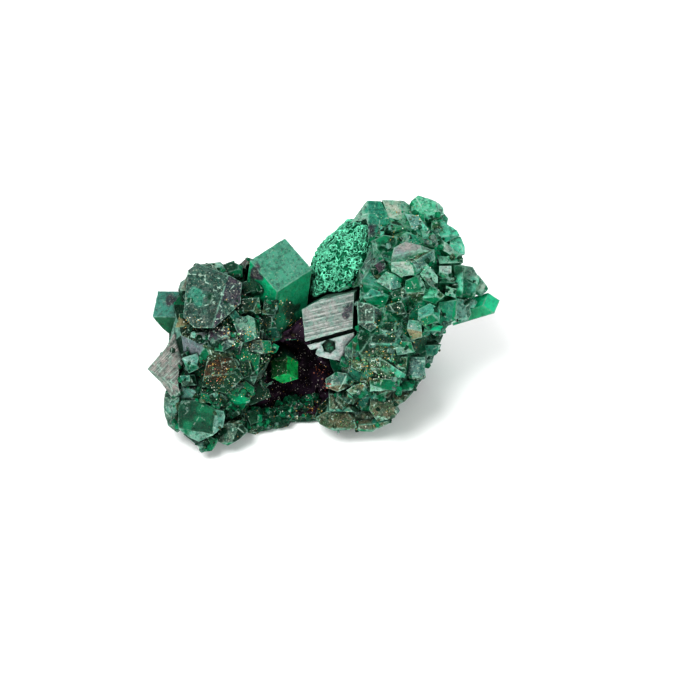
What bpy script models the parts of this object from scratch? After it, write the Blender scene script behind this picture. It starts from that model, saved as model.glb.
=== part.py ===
"""A dioptase specimen: two lobes of emerald crystals on dark rock, with a malachite crust between them.

Everything is modelled in place. Places are given the way the specimen is looked at, in millimetres:
right and up in a picture taken from 40 degrees above the table, and near, towards the viewer.
seen() turns them into the world's axes, where +Z is up and the viewer stands on the -Y side.
"""

import math
import random

import bmesh
import bpy
from mathutils import Matrix, Vector, noise

# Driving dimensions, in millimetres
MM = 0.001
LOOK_DOWN = math.radians(40)
MIDDLE_HEIGHT = 13.0
CENTRING = Vector((-0.55, -0.3, 0.0)) * MM
GAP = 0.3
SEAT = 0.45
WELD = 0.001

# Crystals: the slope of a dioptase crystal's end faces from its axis, and the single crystals' sizes
RHOMB_SLOPE = math.radians(50.9)
UPPER_RADIUS = 5.2
CAVITY_CRYSTAL_RADIUS = 2.3
TIP_RADIUS = 1.8

# The striated crystal's ledge, and the groove and pits below it: (right, up, radius, sides, turn)
LEDGE = ((-3.0, -3.1), (5.0, -0.9))
LOWER_FACE_SLOPE = 62
LEDGE_GROOVE = 0.5
GROOVE_DEPTH = 2.4
PITS_NEAR = 8.6
PITS_DEPTH = 2.6
PITS = ((1.35, -3.85, 1.25, 6, 12), (-0.8, -4.5, 0.65, 3, 75))

# How far placed crystals stand out of a lobe, and how the small ones are scattered over it
USUAL_PROUD = 1.8
RELIEF = 1.5
SCATTERED = 60
GOLDEN_ANGLE = math.pi * (3 - math.sqrt(5))
LOWEST_SCATTERED = 2.5
PARTING = -2.4
CLEAR_OF_PARTING = 4.6
FRONT_FACING = 0.35
FRONT_RADII = (0.9, 1.6)
BACK_RADII = (1.5, 3.0)

# No scattered crystal has its foot in front of the emerald crystal at the lower left
BARE_SPOT = (-17.6, -12.6)
BARE_REACH = 2.6

# The second faces of a placed crystal: its lower face's slope in degrees, and that of its right side
LOWER_SLOPES = (44, 62)
SIDE_SLOPES = (24, 44)
WIDE_CRYSTAL = 2.4
GENTLE = 0.5

# Lumps on the rounded masses: their height as a share of the size, and how many
ROUGH = 0.2
LUMPS = 2.3
MALACHITE_ROUGH = 0.14
CAVITY_ROUGH = 0.15
MALACHITE_DOME = ((3.4, 8.0, -1.2), (4.6, 6.2, 6.3))
MALACHITE_LEAN = 0.35

# Rounded masses that the crystals grow from: (middle in the world, half sizes)
LEFT_MASSES = (
    ((-14.0, -0.2, 11.0), (8.0, 11.0, 9.3)),
    ((-15.8, -6.6, 6.2), (6.3, 6.2, 6.5)),
    ((-12.5, 4.5, 7.0), (8.0, 8.0, 7.8)),
)
RIGHT_MASSES = (
    ((8.0, -1.2, 10.0), (8.0, 11.2, 10.8)),
    ((12.2, 3.8, 17.0), (8.4, 9.6, 9.0)),
    ((9.5, 5.5, 8.5), (8.5, 8.0, 9.0)),
)
ROCK_MASSES = (
    ((-2.5, 2.2, 7.5), (8.2, 10.4, 8.6)),
    ((-10.5, 1.0, 4.2), (8.5, 8.0, 5.6)),
    ((6.5, 1.5, 5.0), (8.5, 8.0, 6.4)),
    ((-4.0, -2.8, 1.2), (8.5, 5.2, 3.0)),
)
CRUST_STRIPS = (
    ((-9.6, -9.0, 1.2), (3.6, 1.3, 1.2)),
    ((-3.2, -6.6, 0.9), (4.8, 1.3, 1.1)),
)
CAVITY = ((-3.8, -5.8, 7.4), (5.4, 7.4, 6.0))

# The specimen's outline as it is looked at: (right, up), from the left tip round by the top
OUTLINE = (
    (-24.6, -7.0), (-21.8, -3.0), (-23.9, 0.5), (-23.1, 4.2), (-20.0, 4.1), (-18.4, 7.0), (-17.2, 8.0),
    (-12.6, 8.3), (-11.2, 7.8), (-9.3, 9.8), (-5.0, 11.7), (-1.0, 7.2), (0.6, 10.0), (3.2, 13.9),
    (6.3, 16.9), (8.5, 17.2), (12.0, 17.1), (14.0, 17.9), (17.7, 16.1), (20.1, 12.2), (20.6, 8.8),
    (22.9, 6.4), (25.2, 3.9), (25.7, 2.8), (24.5, 1.3), (21.5, 0.6), (17.6, -1.8), (17.0, -4.6),
    (15.1, -6.0), (15.2, -8.2), (12.4, -11.3), (10.8, -14.0), (8.0, -15.6), (2.2, -16.0), (-1.0, -14.0),
    (-5.2, -14.5), (-8.0, -16.8), (-10.5, -16.3), (-13.0, -18.0), (-16.7, -19.1), (-20.5, -16.3),
    (-22.1, -13.0), (-22.0, -11.3),
)  # fmt: skip

# Colours: (red, green, blue), roughness
FROSTED_GREEN = ((0.075, 0.19, 0.15), 0.4)
EMERALD = ((0.0, 0.16, 0.085), 0.15)
SILVERY = ((0.24, 0.25, 0.26), 0.35)
MALACHITE = ((0.05, 0.4, 0.17), 0.8)
DARK_ROCK = ((0.018, 0.008, 0.018), 0.7)


def seen(right, up, near=0.0):
    """The world place, in metres, of a spot that the viewer sees."""
    y = up * math.sin(LOOK_DOWN) - near * math.cos(LOOK_DOWN)
    z = up * math.cos(LOOK_DOWN) + near * math.sin(LOOK_DOWN) + MIDDLE_HEIGHT
    return Vector((right, y, z)) * MM


def seen_direction(right, up, near):
    return (seen(right, up, near) - seen(0, 0, 0)).normalized()


TOWARD_VIEWER = seen_direction(0, 0, 1)
SEEN_AXES = Matrix((seen_direction(1, 0, 0), seen_direction(0, 1, 0), TOWARD_VIEWER)).transposed()


def new_object(name, form, collection):
    """An object of this bmesh, with its faces turned outwards."""
    bmesh.ops.recalc_face_normals(form, faces=form.faces)
    mesh = bpy.data.meshes.new(name)
    form.to_mesh(mesh)
    form.free()
    obj = bpy.data.objects.new(name, mesh)
    collection.objects.link(obj)
    return obj


def helper(obj):
    obj.hide_render = True
    obj.display_type = "WIRE"
    return obj


def cut_flat(form, point, normal):
    """Removes what lies on the normal's side of a plane, and closes the cut."""
    everything = form.verts[:] + form.edges[:] + form.faces[:]
    cut = bmesh.ops.bisect_plane(
        form, geom=everything, dist=1e-7, plane_co=point, plane_no=normal, clear_outer=True
    )
    edges = [item for item in cut["geom_cut"] if isinstance(item, bmesh.types.BMEdge)]
    if edges:
        bmesh.ops.edgeloop_fill(form, edges=edges)


# Crystal forms


def dioptase(name, tip, axis, facing, radius, length, collection):
    """A six-sided prism with a three-faced end, one face of which leans towards facing."""
    form = bmesh.new()
    bmesh.ops.create_cone(
        form, cap_ends=True, segments=6, radius1=radius * MM, radius2=radius * MM, depth=length * MM
    )
    bmesh.ops.rotate(form, verts=form.verts, matrix=Matrix.Rotation(math.radians(30), 3, "Z"))
    bmesh.ops.translate(form, verts=form.verts, vec=(0, 0, -length * MM / 2))
    for turn in (0, 120, 240):
        across = Vector((math.cos(math.radians(turn)), math.sin(math.radians(turn)), 0))
        end_face = across * math.sin(RHOMB_SLOPE) + Vector((0, 0, math.cos(RHOMB_SLOPE)))
        cut_flat(form, Vector((0, 0, 0)), end_face)
    towards = (facing - axis * facing.dot(axis)).normalized()
    stand = Matrix((towards, axis.cross(towards), axis)).transposed()
    bmesh.ops.rotate(form, verts=form.verts, matrix=stand)
    bmesh.ops.translate(form, verts=form.verts, vec=tip)
    return new_object(name, form, collection)


def block(name, outline, near, tilt, deep, collection, lean=(0.0, 0.0), shaves=()):
    """A crystal whose face shows this outline, a list of (right, up).

    near is the middle of the face. tilt is how much nearer it comes per millimetre to the right
    and upwards. The crystal runs back by deep, and by lean to the right and upwards. Each shave,
    (start, end, degrees), is a second face: it slopes back from the line on its right side.
    """
    middle_right = sum(point[0] for point in outline) / len(outline)
    middle_up = sum(point[1] for point in outline) / len(outline)

    def on_face(right, up):
        slope = tilt[0] * (right - middle_right) + tilt[1] * (up - middle_up)
        return seen(right, up, near + slope)

    form = bmesh.new()
    face = form.faces.new([form.verts.new(on_face(*point)) for point in outline])
    pulled = bmesh.ops.extrude_face_region(form, geom=[face])
    back = [item for item in pulled["geom"] if isinstance(item, bmesh.types.BMVert)]
    bmesh.ops.translate(form, verts=back, vec=seen(lean[0], lean[1], -deep) - seen(0, 0, 0))
    outward = seen_direction(-tilt[0], -tilt[1], 1)
    for start, end, degrees in shaves:
        along = (on_face(*end) - on_face(*start)).normalized()
        aside = along.cross(outward)
        angle = math.radians(degrees)
        cut_flat(form, on_face(*start), outward * math.cos(angle) + aside * math.sin(angle))
    return new_object(name, form, collection)


def near_side(masses, right, up):
    """How near the surface of these masses comes to the viewer at this spot, or at their edge."""
    hits = []
    for middle, half in masses:
        start = [(seen(right, up)[i] / MM - middle[i]) / half[i] for i in range(3)]
        step = [TOWARD_VIEWER[i] / half[i] for i in range(3)]
        square = sum(s * s for s in step)
        slope = sum(a * s for a, s in zip(start, step))
        inside = slope * slope - square * (sum(a * a for a in start) - 1)
        near = (math.sqrt(max(inside, 0)) - slope) / square
        hits.append((min(inside, 0), near))
    return max(hits)[1]


def mass(name, middle, half, rough, seed, collection, detail=2):
    """A lumpy rounded mass."""
    form = bmesh.new()
    bmesh.ops.create_icosphere(form, subdivisions=detail, radius=1)
    for vert in form.verts:
        lump = 1 + rough * noise.noise(vert.co * LUMPS + Vector((seed, 0, 0)))
        vert.co = (Vector(middle) + Vector(a * b * lump for a, b in zip(vert.co, half))) * MM
    return new_object(name, form, collection)


def grown(obj, distance, collection):
    """A helper copy whose faces all lie further out by distance, for cutting a clear seat."""
    form = bmesh.new()
    form.from_mesh(obj.data)
    form.normal_update()
    moves = {}
    for vert in form.verts:
        normals = [face.normal for face in vert.link_faces]
        push = sum(normals, Vector()).normalized()
        least = min(push.dot(normal) for normal in normals)
        moves[vert] = push * distance * MM / max(least, 0.35)
    for vert, move in moves.items():
        vert.co += move
    return helper(new_object(obj.name + "_seat", form, collection))


def boolean(obj, operation, other):
    """Joins or cuts with an object or a collection. The exact solver leaves open edges on the lobes."""
    modifier = obj.modifiers.new(operation.title(), "BOOLEAN")
    modifier.operation = operation
    modifier.solver = "MANIFOLD"
    if isinstance(other, bpy.types.Collection):
        modifier.operand_type = "COLLECTION"
        modifier.collection = other
    else:
        modifier.object = other


def material(obj, look):
    colour, roughness = look
    made = bpy.data.materials.new(obj.name)
    made.use_nodes = True
    shader = made.node_tree.nodes["Principled BSDF"]
    shader.inputs["Base Color"].default_value = (*colour, 1)
    shader.inputs["Roughness"].default_value = roughness
    obj.data.materials.clear()
    obj.data.materials.append(made)
    obj.data.polygons.foreach_set("material_index", [0] * len(obj.data.polygons))


# Crystals of the left lobe: (outline, how far it stands proud, tilt, deep, more)
LEFT_BLOCKS = (
    # The large grey-green rhomb with its ridge
    (((-17.4, 8.1), (-18.8, 7), (-19.4, 0.4), (-17.8, -1.2), (-14.9, -1.2), (-11.2, 2.3), (-11, 5.3),
      (-12.7, 6.3)), 2.3, (0.12, -0.45), 9, {"shaves": (((-15.3, -1.4), (-12.9, 6.6), 34),)}),
    # The silvery diamond at the left
    (((-24.6, -7), (-22, -4), (-20.9, -1.9), (-17.3, -3.1), (-20, -7), (-20.2, -10.8), (-22, -11.3),
      (-22.9, -9.2)),
     2.4, (0.15, -0.3), 8, {"lean": (3.5, 1.0), "shaves": (((-24.6, -7), (-20.2, -9.4), 50),)}),
    # The emerald crystal at the lower left
    (((-20.1, -12.3), (-19.3, -11.5), (-17, -11.4), (-15.5, -12.3), (-13.7, -13.3), (-13.5, -14.2),
      (-13.8, -15.7),
      (-15, -16.4), (-17.3, -17.8), (-18.8, -17), (-20.1, -15.7), (-20.2, -14)), 2.0, (0.05, -0.12), 8,
     {"lean": (0.5, 3.0),
      "shaves": (((-15.4, -17), (-14.7, -12.2), 38), ((-20.3, -15.4), (-15, -16.3), 40))}),
    # The middle of the lobe, beside the cavity
    (((-12.3, -0.4), (-10.2, 0.7), (-8.2, -0.2), (-8.6, -2.6), (-11, -3.4)), 1.5, (-0.1, -0.5), 6, {}),
    (((-8.4, 1.1), (-6.4, 0.6), (-5.9, -2.4), (-7.6, -3.2), (-8.8, -1.4)), 1.6, (0.35, 0.1), 6, {}),
    (((-9.8, -2.8), (-7, -2.9), (-6.6, -4.6), (-9.5, -5.2), (-11.6, -4.6)), 1.3, (0.25, 0.1), 6, {}),
    (((-12.7, -2.2), (-10.8, -3.2), (-11.4, -5.1), (-12.9, -4.2)), 1.0, (-0.1, -0.2), 5, {}),
    (((-7.9, 2.9), (-6.3, 2.8), (-5.9, 1.5), (-6.7, 0.6), (-8.2, 0.8)), 4.4, (0.1, -0.3), 6, {}),
    (((-15.7, -1), (-12.9, -0.9), (-12.4, -3), (-14.6, -3.9), (-15.9, -2.8)), 1.0, (0.1, -0.6), 6, {}),
    (((-17.9, -1.9), (-15.9, -1.6), (-15.6, -2.8), (-17.1, -3.4)), 0.9, (-0.2, -0.5), 5, {}),
    (((-20, 0.9), (-18.5, 0.4), (-17.2, -1.2), (-20.5, -1.1)), 2.2, (-0.2, -0.9), 5, {"lean": (1.5, 0)}),
    # The speckled slope below it
    (((-16, -5.6), (-12.4, -5.2), (-10.8, -8.2), (-13.2, -10.6), (-16.8, -9.4)), 1.4, (0.05, -0.25), 6, {}),
    (((-12.4, -5.5), (-9.2, -6), (-8.6, -7.6), (-9.4, -9.3), (-11.2, -8.8)), 1.2, (-0.3, 0.0), 6, {}),
    (((-13.6, -10), (-10.6, -8.6), (-9.3, -9.6), (-9.3, -10.4), (-11, -12.9), (-13.2, -13.2)),
     1.7, (-0.2, 0.1), 6, {}),
    (((-19.6, -5.4), (-17.4, -4.7), (-16.5, -6.6), (-18.6, -7.7)), 1.6, (-0.1, -0.3), 5, {}),
    (((-19.9, -7.9), (-17.7, -7.7), (-17.4, -9.3), (-19.6, -9.5)), 1.7, (-0.2, 0.1), 5, {}),
    (((-16.9, -9.3), (-14.2, -9.7), (-14.6, -12), (-17, -11.6)), 1.2, (0.1, -0.4), 5, {}),
    # The lower edge
    (((-22.2, -11), (-20, -10.6), (-19.8, -15.2), (-20.5, -16.3), (-21.7, -15), (-22.3, -13)),
     3.2, (0.5, 0.0), 6,
     {"lean": (2.0, 2.0)}),
    (((-19.4, -16.3), (-17.6, -17.8), (-16.7, -19), (-15.3, -18.9), (-14.4, -17.4), (-17, -15.8)),
     3.3, (0.1, -0.1), 5,
     {"lean": (0.0, 3.0)}),
    (((-13.6, -14.6), (-11, -14.9), (-10.2, -16.1), (-11.2, -17), (-13.1, -18), (-14.8, -17.2)),
     2.6, (0.1, -0.3), 6,
     {"lean": (0.0, 3.0)}),
    # The small crystals behind the rhomb and beside the upper crystal
    (((-20, 4.2), (-18.7, 6.9), (-17.8, 4.6), (-19.2, 2)), 1.4, (0.3, -0.4), 5, {}),
    (((-17.6, 7.9), (-14.2, 8.3), (-12.8, 7), (-13.6, 5.6)), 2.0, (0.0, -0.8), 6, {}),
    (((-13.9, 7.9), (-12.6, 8.4), (-11, 7.7), (-11, 6), (-13.2, 6)), 1.8, (0.1, -0.5), 6, {}),
    (((-11.7, 7.8), (-10.4, 9), (-9.5, 8.7), (-8.8, 6), (-10.8, 5.6)), 2.6, (-0.6, -0.3), 6, {}),
    (((-11, 5.4), (-9, 6.2), (-7.4, 4.8), (-8.4, 3), (-10.8, 3)), 1.8, (0.2, -0.3), 6, {}),
    (((-11.2, 3), (-8.6, 3.2), (-8.2, 1), (-10.3, 0.4), (-12, 1.6)), 1.5, (0.15, -0.2), 6, {}),
)

# Crystals of the right lobe
RIGHT_BLOCKS = (
    # The top, from left to right
    (((3.9, 14), (6.3, 16.7), (6.8, 17.1), (8.7, 17), (9.8, 14.8), (11.2, 13.8), (8.6, 11.6),
      (7.2, 10.8), (5.6, 12)),
     2.6, (-0.1, -0.5), 8, {"lean": (2.0, -1.5), "shaves": (((6.7, 17.4), (7.0, 10.6), 28),)}),
    (((8.8, 17.2), (12, 17.1), (12.8, 16.6), (13.4, 15.6), (12, 14), (9.8, 14.6)), 2.0, (0.0, -0.6), 7,
     {"lean": (0.0, -2.0)}),
    (((13, 17.1), (14, 17.85), (15.2, 17.5), (17, 16.8), (17.7, 16.1), (17.8, 15.1), (15, 14.2), (13, 15.6)),
     2.4,
     (0.2, -0.45), 8, {"lean": (-1.5, -3.0)}),
    (((16, 15.6), (17.8, 15.2), (18.4, 14.5), (18.2, 13.7), (19.7, 12.8), (20.1, 12.1), (18, 11),
      (15.8, 12.2)), 2.0,
     (-0.1, -0.4), 8, {"lean": (-3.0, -2.0)}),
    (((18.6, 11.7), (20.1, 12), (20.7, 10.6), (20.7, 9.3), (19.6, 8.9), (18.4, 9.8)), 1.8, (-0.3, -0.2), 7,
     {"lean": (-3.0, -1.0)}),
    (((12, 15.2), (14, 14.9), (15.6, 12.9), (14.6, 11.7), (13, 13)), 1.9, (0.1, -0.7), 6, {}),
    (((14.4, 12.7), (16, 12.5), (17.5, 11.2), (14.6, 11.2)), 1.9, (0.1, -0.7), 6, {}),
    (((9.2, 13.2), (12.2, 13.3), (12.5, 12.2), (9, 12)), 1.3, (0.0, 0.3), 5, {}),
    (((7.3, 11.2), (9, 12.1), (11.8, 11.8), (11.6, 9.6), (9.6, 8.4), (7.6, 9.2)), 0.9, (-0.25, -0.2), 6, {}),
    # The purple-grey flat face, and what lies right of it
    (((10, 8.2), (10.5, 10.3), (12.2, 11.2), (14.7, 10.5), (16.4, 9.8), (16.2, 8.7), (14, 8.2)),
     1.7, (0.05, -0.8), 6, {}),
    (((14.2, 11.3), (16.7, 11.3), (17.1, 10.2), (15, 10.2)), 1.5, (0.0, 0.2), 5, {}),
    (((16.5, 11.3), (17.5, 11.4), (20, 9.3), (19.4, 8.7), (17.1, 10.1)),
     2.2, (0.2, -0.6), 6, {"lean": (-1, -1)}),
    (((16.7, 9.1), (20.3, 9.2), (20.5, 8.2), (17, 7.9)), 2.0, (0.1, -0.8), 6, {"lean": (-1.0, -1.0)}),
    # The row of frosted crystals
    (((10.1, 8.2), (14.2, 8.4), (14.7, 7.2), (13.4, 6.3), (11.4, 6.1), (10.1, 6.8)),
     2.4, (-0.1, -0.4), 6, {}),
    (((7.9, 5.5), (9.4, 6.9), (11.3, 6.1), (11.7, 4.6), (10, 4.1)), 2.1, (-0.2, -0.6), 6, {}),
    (((15.2, 8), (16.8, 6.1), (16.7, 4.2), (15.2, 5), (14.1, 6.4)), 2.4, (0.3, -0.3), 6, {}),
    (((16.9, 7.7), (18.7, 7.7), (18.7, 5.8), (16.8, 5.9)), 2.0, (0.1, -0.5), 6, {}),
    (((16.8, 6), (19.1, 6), (19.3, 4.7), (17, 4.8)), 1.9, (0.0, 0.5), 5, {}),
    (((19, 7.9), (20.4, 7.7), (20.4, 3.2), (19.3, 3.3)), 2.6, (0.2, -0.1), 6, {"lean": (-2.0, 0.0)}),
    (((17.9, 4.9), (19.4, 4.4), (19.3, 3.1), (17.7, 3.5)), 2.4, (0.1, -0.4), 5, {}),
    (((12.1, 5.6), (14.1, 6.4), (15.2, 4.8), (14.4, 2.5), (12, 2.6)), 1.4, (0.1, 0.2), 6, {}),
    (((15, 5), (16.7, 4.4), (17.8, 3.4), (16.4, 2.2), (14.5, 2.8)), 1.6, (0.1, -0.2), 6, {}),
    # The right edge
    (((20.1, 7.9), (21.8, 7.6), (22.3, 6.8), (22.9, 6.3), (22.7, 5), (20.1, 6.2)), 2.4, (0.2, -0.7), 6,
     {"lean": (-3.5, -1.0)}),
    (((20.1, 6.3), (22.3, 5), (22.2, 3.1), (20.1, 2.9)), 3.0, (0.2, -0.2), 6, {"lean": (-3.5, 0.0)}),
    (((21.7, 6.2), (22.9, 6.2), (24.2, 4.4), (23.4, 3.4), (21.9, 4.4)),
     2.2, (0.1, -0.4), 7, {"lean": (-5.0, 0.0)}),
    (((19.3, 3.1), (21.3, 2.7), (21.7, 0.8), (21.2, -0.1), (20, -0.5), (18.6, 0.6)), 2.8, (0.0, 0.3), 6,
     {"lean": (-3.0, 1.0)}),
    (((16.9, 2.5), (19.5, 2.9), (19.5, -0.4), (18, -1.1), (16.4, -0.3)),
     2.2, (0.1, 0.1), 6, {"lean": (-2, 1)}),
    # The slope below the striated crystal, going right
    (((5.2, 2.6), (7.2, 2.3), (9.3, 1.1), (8.9, -0.5), (7.2, -1.8), (5.4, -0.6)),
     2.0, (-0.15, -0.35), 6, {}),
    (((6, 3.2), (7.3, 4.5), (10, 3.5), (9.3, 1.9), (7, 2.1)), 1.9, (0.05, -0.1), 6, {}),
    (((9.2, 2), (11.6, 2.8), (12.5, 0.6), (11, -0.7), (9.2, -0.2)), 1.4, (0.1, 0.1), 6, {}),
    (((10, 4), (12, 4.6), (12.4, 2.6), (10.2, 2.4)), 1.3, (0.1, 0.2), 5, {}),
    (((8.1, -0.4), (10.9, -0.3), (11.6, -1.4), (8.6, -2.6)), 1.5, (0.2, -0.6), 5, {}),
    (((13.9, 1.5), (15.6, 2.4), (17.2, 1.5), (17, -0.3), (15, -0.8), (13.9, 0)), 2.3, (0.15, -0.5), 6, {}),
    (((14.9, -0.6), (18.3, -0.9), (17.4, -1.9), (14.7, -1.9)), 2.1, (0.1, 0.5), 5, {"lean": (-1.0, 1.0)}),
    (((12.6, 0.1), (14.4, -0.2), (14.6, -2.5), (13, -3), (12.3, -1.4)), 2.1, (-0.15, -0.4), 6, {}),
    (((7.2, -2.2), (10.6, -1.7), (12, -3.2), (10.2, -5.2), (7.2, -4.4)), 1.1, (-0.1, 0.05), 6, {}),
    (((10.3, -2.9), (13, -3.1), (13.5, -4.6), (11, -5.2)), 1.6, (0.1, -0.3), 5, {}),
    (((14.6, -2.1), (17.7, -2.1), (17.2, -3.3), (14.9, -3.8)), 2.3, (0.15, -0.6), 6, {"lean": (-2.0, 0.5)}),
    (((14.2, -3.6), (17.4, -3.5), (17, -4.6), (16.4, -5.1), (14.5, -5.5)),
     2.1, (0.1, 0.2), 6, {"lean": (-2, 1)}),
    (((12.4, -5.2), (15.1, -5.3), (15.1, -7.3), (15.2, -8.2), (14.1, -9), (12, -7.7)), 1.9, (0.1, -0.1), 6,
     {"lean": (-2.0, 1.0)}),
    (((9, -5.2), (12.5, -5.2), (12.2, -7.8), (9.4, -8.2)), 1.0, (0.0, -0.2), 6, {}),
    (((4.6, -3), (7.4, -4.4), (9.2, -6.4), (7.2, -8.2), (4.4, -6.8)), 0.8, (-0.1, -0.1), 6, {}),
    # The layered lower right
    (((7, -8.2), (11.5, -8.4), (11.3, -9.9), (7.1, -10.3)), 1.8, (0.05, -0.5), 6, {"lean": (0.0, 1.0)}),
    (((11.4, -8.5), (14.5, -8.7), (13.5, -10), (11.2, -10.3)), 1.9, (0.1, -0.4), 6, {"lean": (-1.0, 1.5)}),
    (((0.7, -8.4), (2.4, -7.3), (4.9, -7.8), (4.8, -9.3), (2.6, -10.3), (0.9, -9.7)),
     2.0, (0.25, -0.4), 6, {}),
    (((3.7, -10), (4.9, -9.2), (7, -8.7), (7.3, -10.6), (5, -11.2)), 1.5, (0.05, -0.3), 6, {}),
    (((1.2, -10.4), (4, -10.8), (5.8, -11.3), (5.4, -13.3), (1.3, -13.1)),
     1.4, (0.25, -0.3), 6, {"lean": (0, 2)}),
    (((-0.8, -14), (0.9, -13), (4, -13.2), (4.8, -14.5), (5.2, -15.7), (2, -16), (0, -14.9)),
     3.0, (0.3, -0.5), 6,
     {"lean": (1.0, 3.5)}),
    (((4.3, -13.2), (8.2, -12.8), (8.4, -15), (5, -15.8)), 2.6, (0.0, 0.1), 6, {"lean": (0.0, 3.0)}),
    (((7.1, -10.7), (10.7, -10.5), (11.2, -12.5), (10.8, -14), (8.2, -14.6), (7, -12.8)),
     2.3, (0.05, -0.3), 6,
     {"lean": (-0.5, 2.0)}),
    (((10.3, -10.3), (13.6, -10), (12.4, -11.3), (11.4, -12.2), (10.4, -12.2)),
     2.2, (0.1, -0.3), 6, {"lean": (-2, 2)}),
    (((4.9, -15), (10, -14.5), (10.2, -14.9), (8, -15.6), (7.4, -16.1), (5, -16)), 3.2, (0.0, 0.2), 5,
     {"lean": (0.0, 3.5)}),
)

# Crystals of the crust along the lower edge of the cavity: (right, up, near, radius)
CRUST_CRYSTALS = (
    (-11.0, -15.0, 1.4, 1.5),
    (-9.4, -15.0, 1.0, 1.6),
    (-7.8, -14.6, 0.4, 1.5),
    (-6.3, -14.2, -0.3, 1.4),
    (-4.8, -13.5, -1.3, 1.3),
    (-3.3, -13.0, -1.8, 1.3),
    (-1.8, -12.8, -2.2, 1.2),
    (-0.3, -12.7, -2.4, 1.1),
)
CRUST_CRYSTAL_LENGTH = 2.8


def as_looked_at(place):
    """Where the viewer sees a place, in metres to the right and upwards."""
    up = place.y * math.sin(LOOK_DOWN) + (place.z - MIDDLE_HEIGHT * MM) * math.cos(LOOK_DOWN)
    return Vector((place.x, up))


def within_outline(place, margin):
    """Whether a spot lies inside the specimen's outline as it is looked at, by at least margin."""
    spot = as_looked_at(place)
    corners = [Vector(corner) * MM for corner in OUTLINE]
    crossings = 0
    for first, second in zip(corners, corners[1:] + corners[:1]):
        along = second - first
        share = min(max((spot - first).dot(along) / along.length_squared, 0), 1)
        if (spot - first - along * share).length < margin:
            return False
        if (first.y > spot.y) != (second.y > spot.y):
            crossings += spot.x < first.x + along.x * (spot.y - first.y) / along.y
    return crossings % 2 == 1


def scattered(masses, seed, collection):
    """Small crystals over the whole of a lobe, larger on the sides that the placed ones leave bare."""
    chance = random.Random(seed)
    for index, (middle, half) in enumerate(masses):
        for step in range(SCATTERED):
            height = 1 - 2 * (step + 0.5) / SCATTERED
            turn = step * GOLDEN_ANGLE
            ring = math.sqrt(1 - height * height)
            unit = Vector((ring * math.cos(turn), ring * math.sin(turn), height))
            place = Vector(m + u * h for m, u, h in zip(middle, unit, half))
            outward = Vector(u / h for u, h in zip(unit, half)).normalized()
            wander = Vector(chance.uniform(-1, 1) for _ in range(3))
            facing = Vector(chance.uniform(-1, 1) for _ in range(3))
            size = chance.random()
            buried = any(
                sum(((p - m) / h) ** 2 for p, m, h in zip(place, other, reach)) < 0.95
                for other, reach in masses[:index] + masses[index + 1 :]
            )
            if buried or place.z < LOWEST_SCATTERED or abs(place.x - PARTING) < CLEAR_OF_PARTING:
                continue
            front = outward.dot(TOWARD_VIEWER) > FRONT_FACING
            least, most = FRONT_RADII if front else BACK_RADII
            radius = least + (most - least) * size * size
            axis = (outward + wander * (0.9 if front else 0.6)).normalized()
            tip = (place + outward * radius * (0.35 if front else 0.95)) * MM
            length = radius * 2 + 3
            foot = tip - axis * length * MM
            over_bare = (as_looked_at(foot) - Vector(BARE_SPOT) * MM).length < BARE_REACH * MM
            if within_outline(tip, radius * MM) and not (front and over_bare):
                dioptase("small_crystal", tip, axis, facing, radius, length, collection)


def second_faces(outline, chance, gentle):
    """The lines from which a crystal's lower face, and on a wide one its right side, slope back.

    A crystal at the specimen's edge leans, and its second faces are gentle, which keeps the outline.
    """
    share = GENTLE if gentle else 1
    rights = [point[0] for point in outline]
    ups = [point[1] for point in outline]
    left, right, lowest, highest = min(rights), max(rights), min(ups), max(ups)
    height = lowest + (highest - lowest) * chance.uniform(0.3, 0.55) * share
    slant = (right - left) * chance.uniform(-0.2, 0.2)
    faces = [((left, height - slant), (right, height + slant), chance.uniform(*LOWER_SLOPES) * share)]
    if right - left > WIDE_CRYSTAL:
        across = left + (right - left) * chance.uniform(0.6, 0.8)
        lean = (highest - lowest) * chance.uniform(-0.15, 0.25)
        slope = chance.uniform(*SIDE_SLOPES) * share
        faces.append(((across - lean, lowest), (across + lean, highest), slope))
    return faces


def applied(obj):
    """Makes the modifiers' result the object's own mesh, without the chips that a cut left loose."""
    graph = bpy.context.evaluated_depsgraph_get()
    mesh = bpy.data.meshes.new_from_object(obj.evaluated_get(graph))
    obj.modifiers.clear()
    form = bmesh.new()
    form.from_mesh(mesh)
    bmesh.ops.remove_doubles(form, verts=form.verts, dist=WELD * MM)
    left = set(form.verts)
    pieces = []
    while left:
        piece = {left.pop()}
        edge_of = list(piece)
        while edge_of:
            vert = edge_of.pop()
            fresh = {edge.other_vert(vert) for edge in vert.link_edges} - piece
            piece |= fresh
            edge_of += fresh
        left -= piece
        pieces.append(piece)
    pieces.sort(key=len)
    bmesh.ops.delete(form, geom=[vert for piece in pieces[:-1] for vert in piece], context="VERTS")
    form.to_mesh(mesh)
    form.free()
    obj.data = mesh
    return obj


def lobe(name, masses, blocks, seed, parts, cutters):
    """One lobe: its rounded masses, the placed crystals and the scattered ones, grown into one solid."""
    chance = random.Random(seed)
    growth = collection_of(name + "_growth", cutters)
    for index, (middle, half) in enumerate(masses[1:]):
        mass(name + "_mass", middle, half, ROUGH, seed + index + 1, growth)
    for outline, proud, tilt, deep, more in blocks:
        right = sum(point[0] for point in outline) / len(outline)
        up = sum(point[1] for point in outline) / len(outline)
        near = near_side(masses, right, up) + USUAL_PROUD + RELIEF * (proud - USUAL_PROUD)
        grown_as = {"shaves": second_faces(outline, chance, "lean" in more), **more}
        block(name + "_crystal", outline, near, tilt, deep, growth, **grown_as)
    scattered(masses, seed, growth)
    for obj in growth.objects:
        helper(obj)
    made = mass(name, *masses[0], ROUGH, seed, parts)
    boolean(made, "UNION", growth)
    return made


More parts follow.
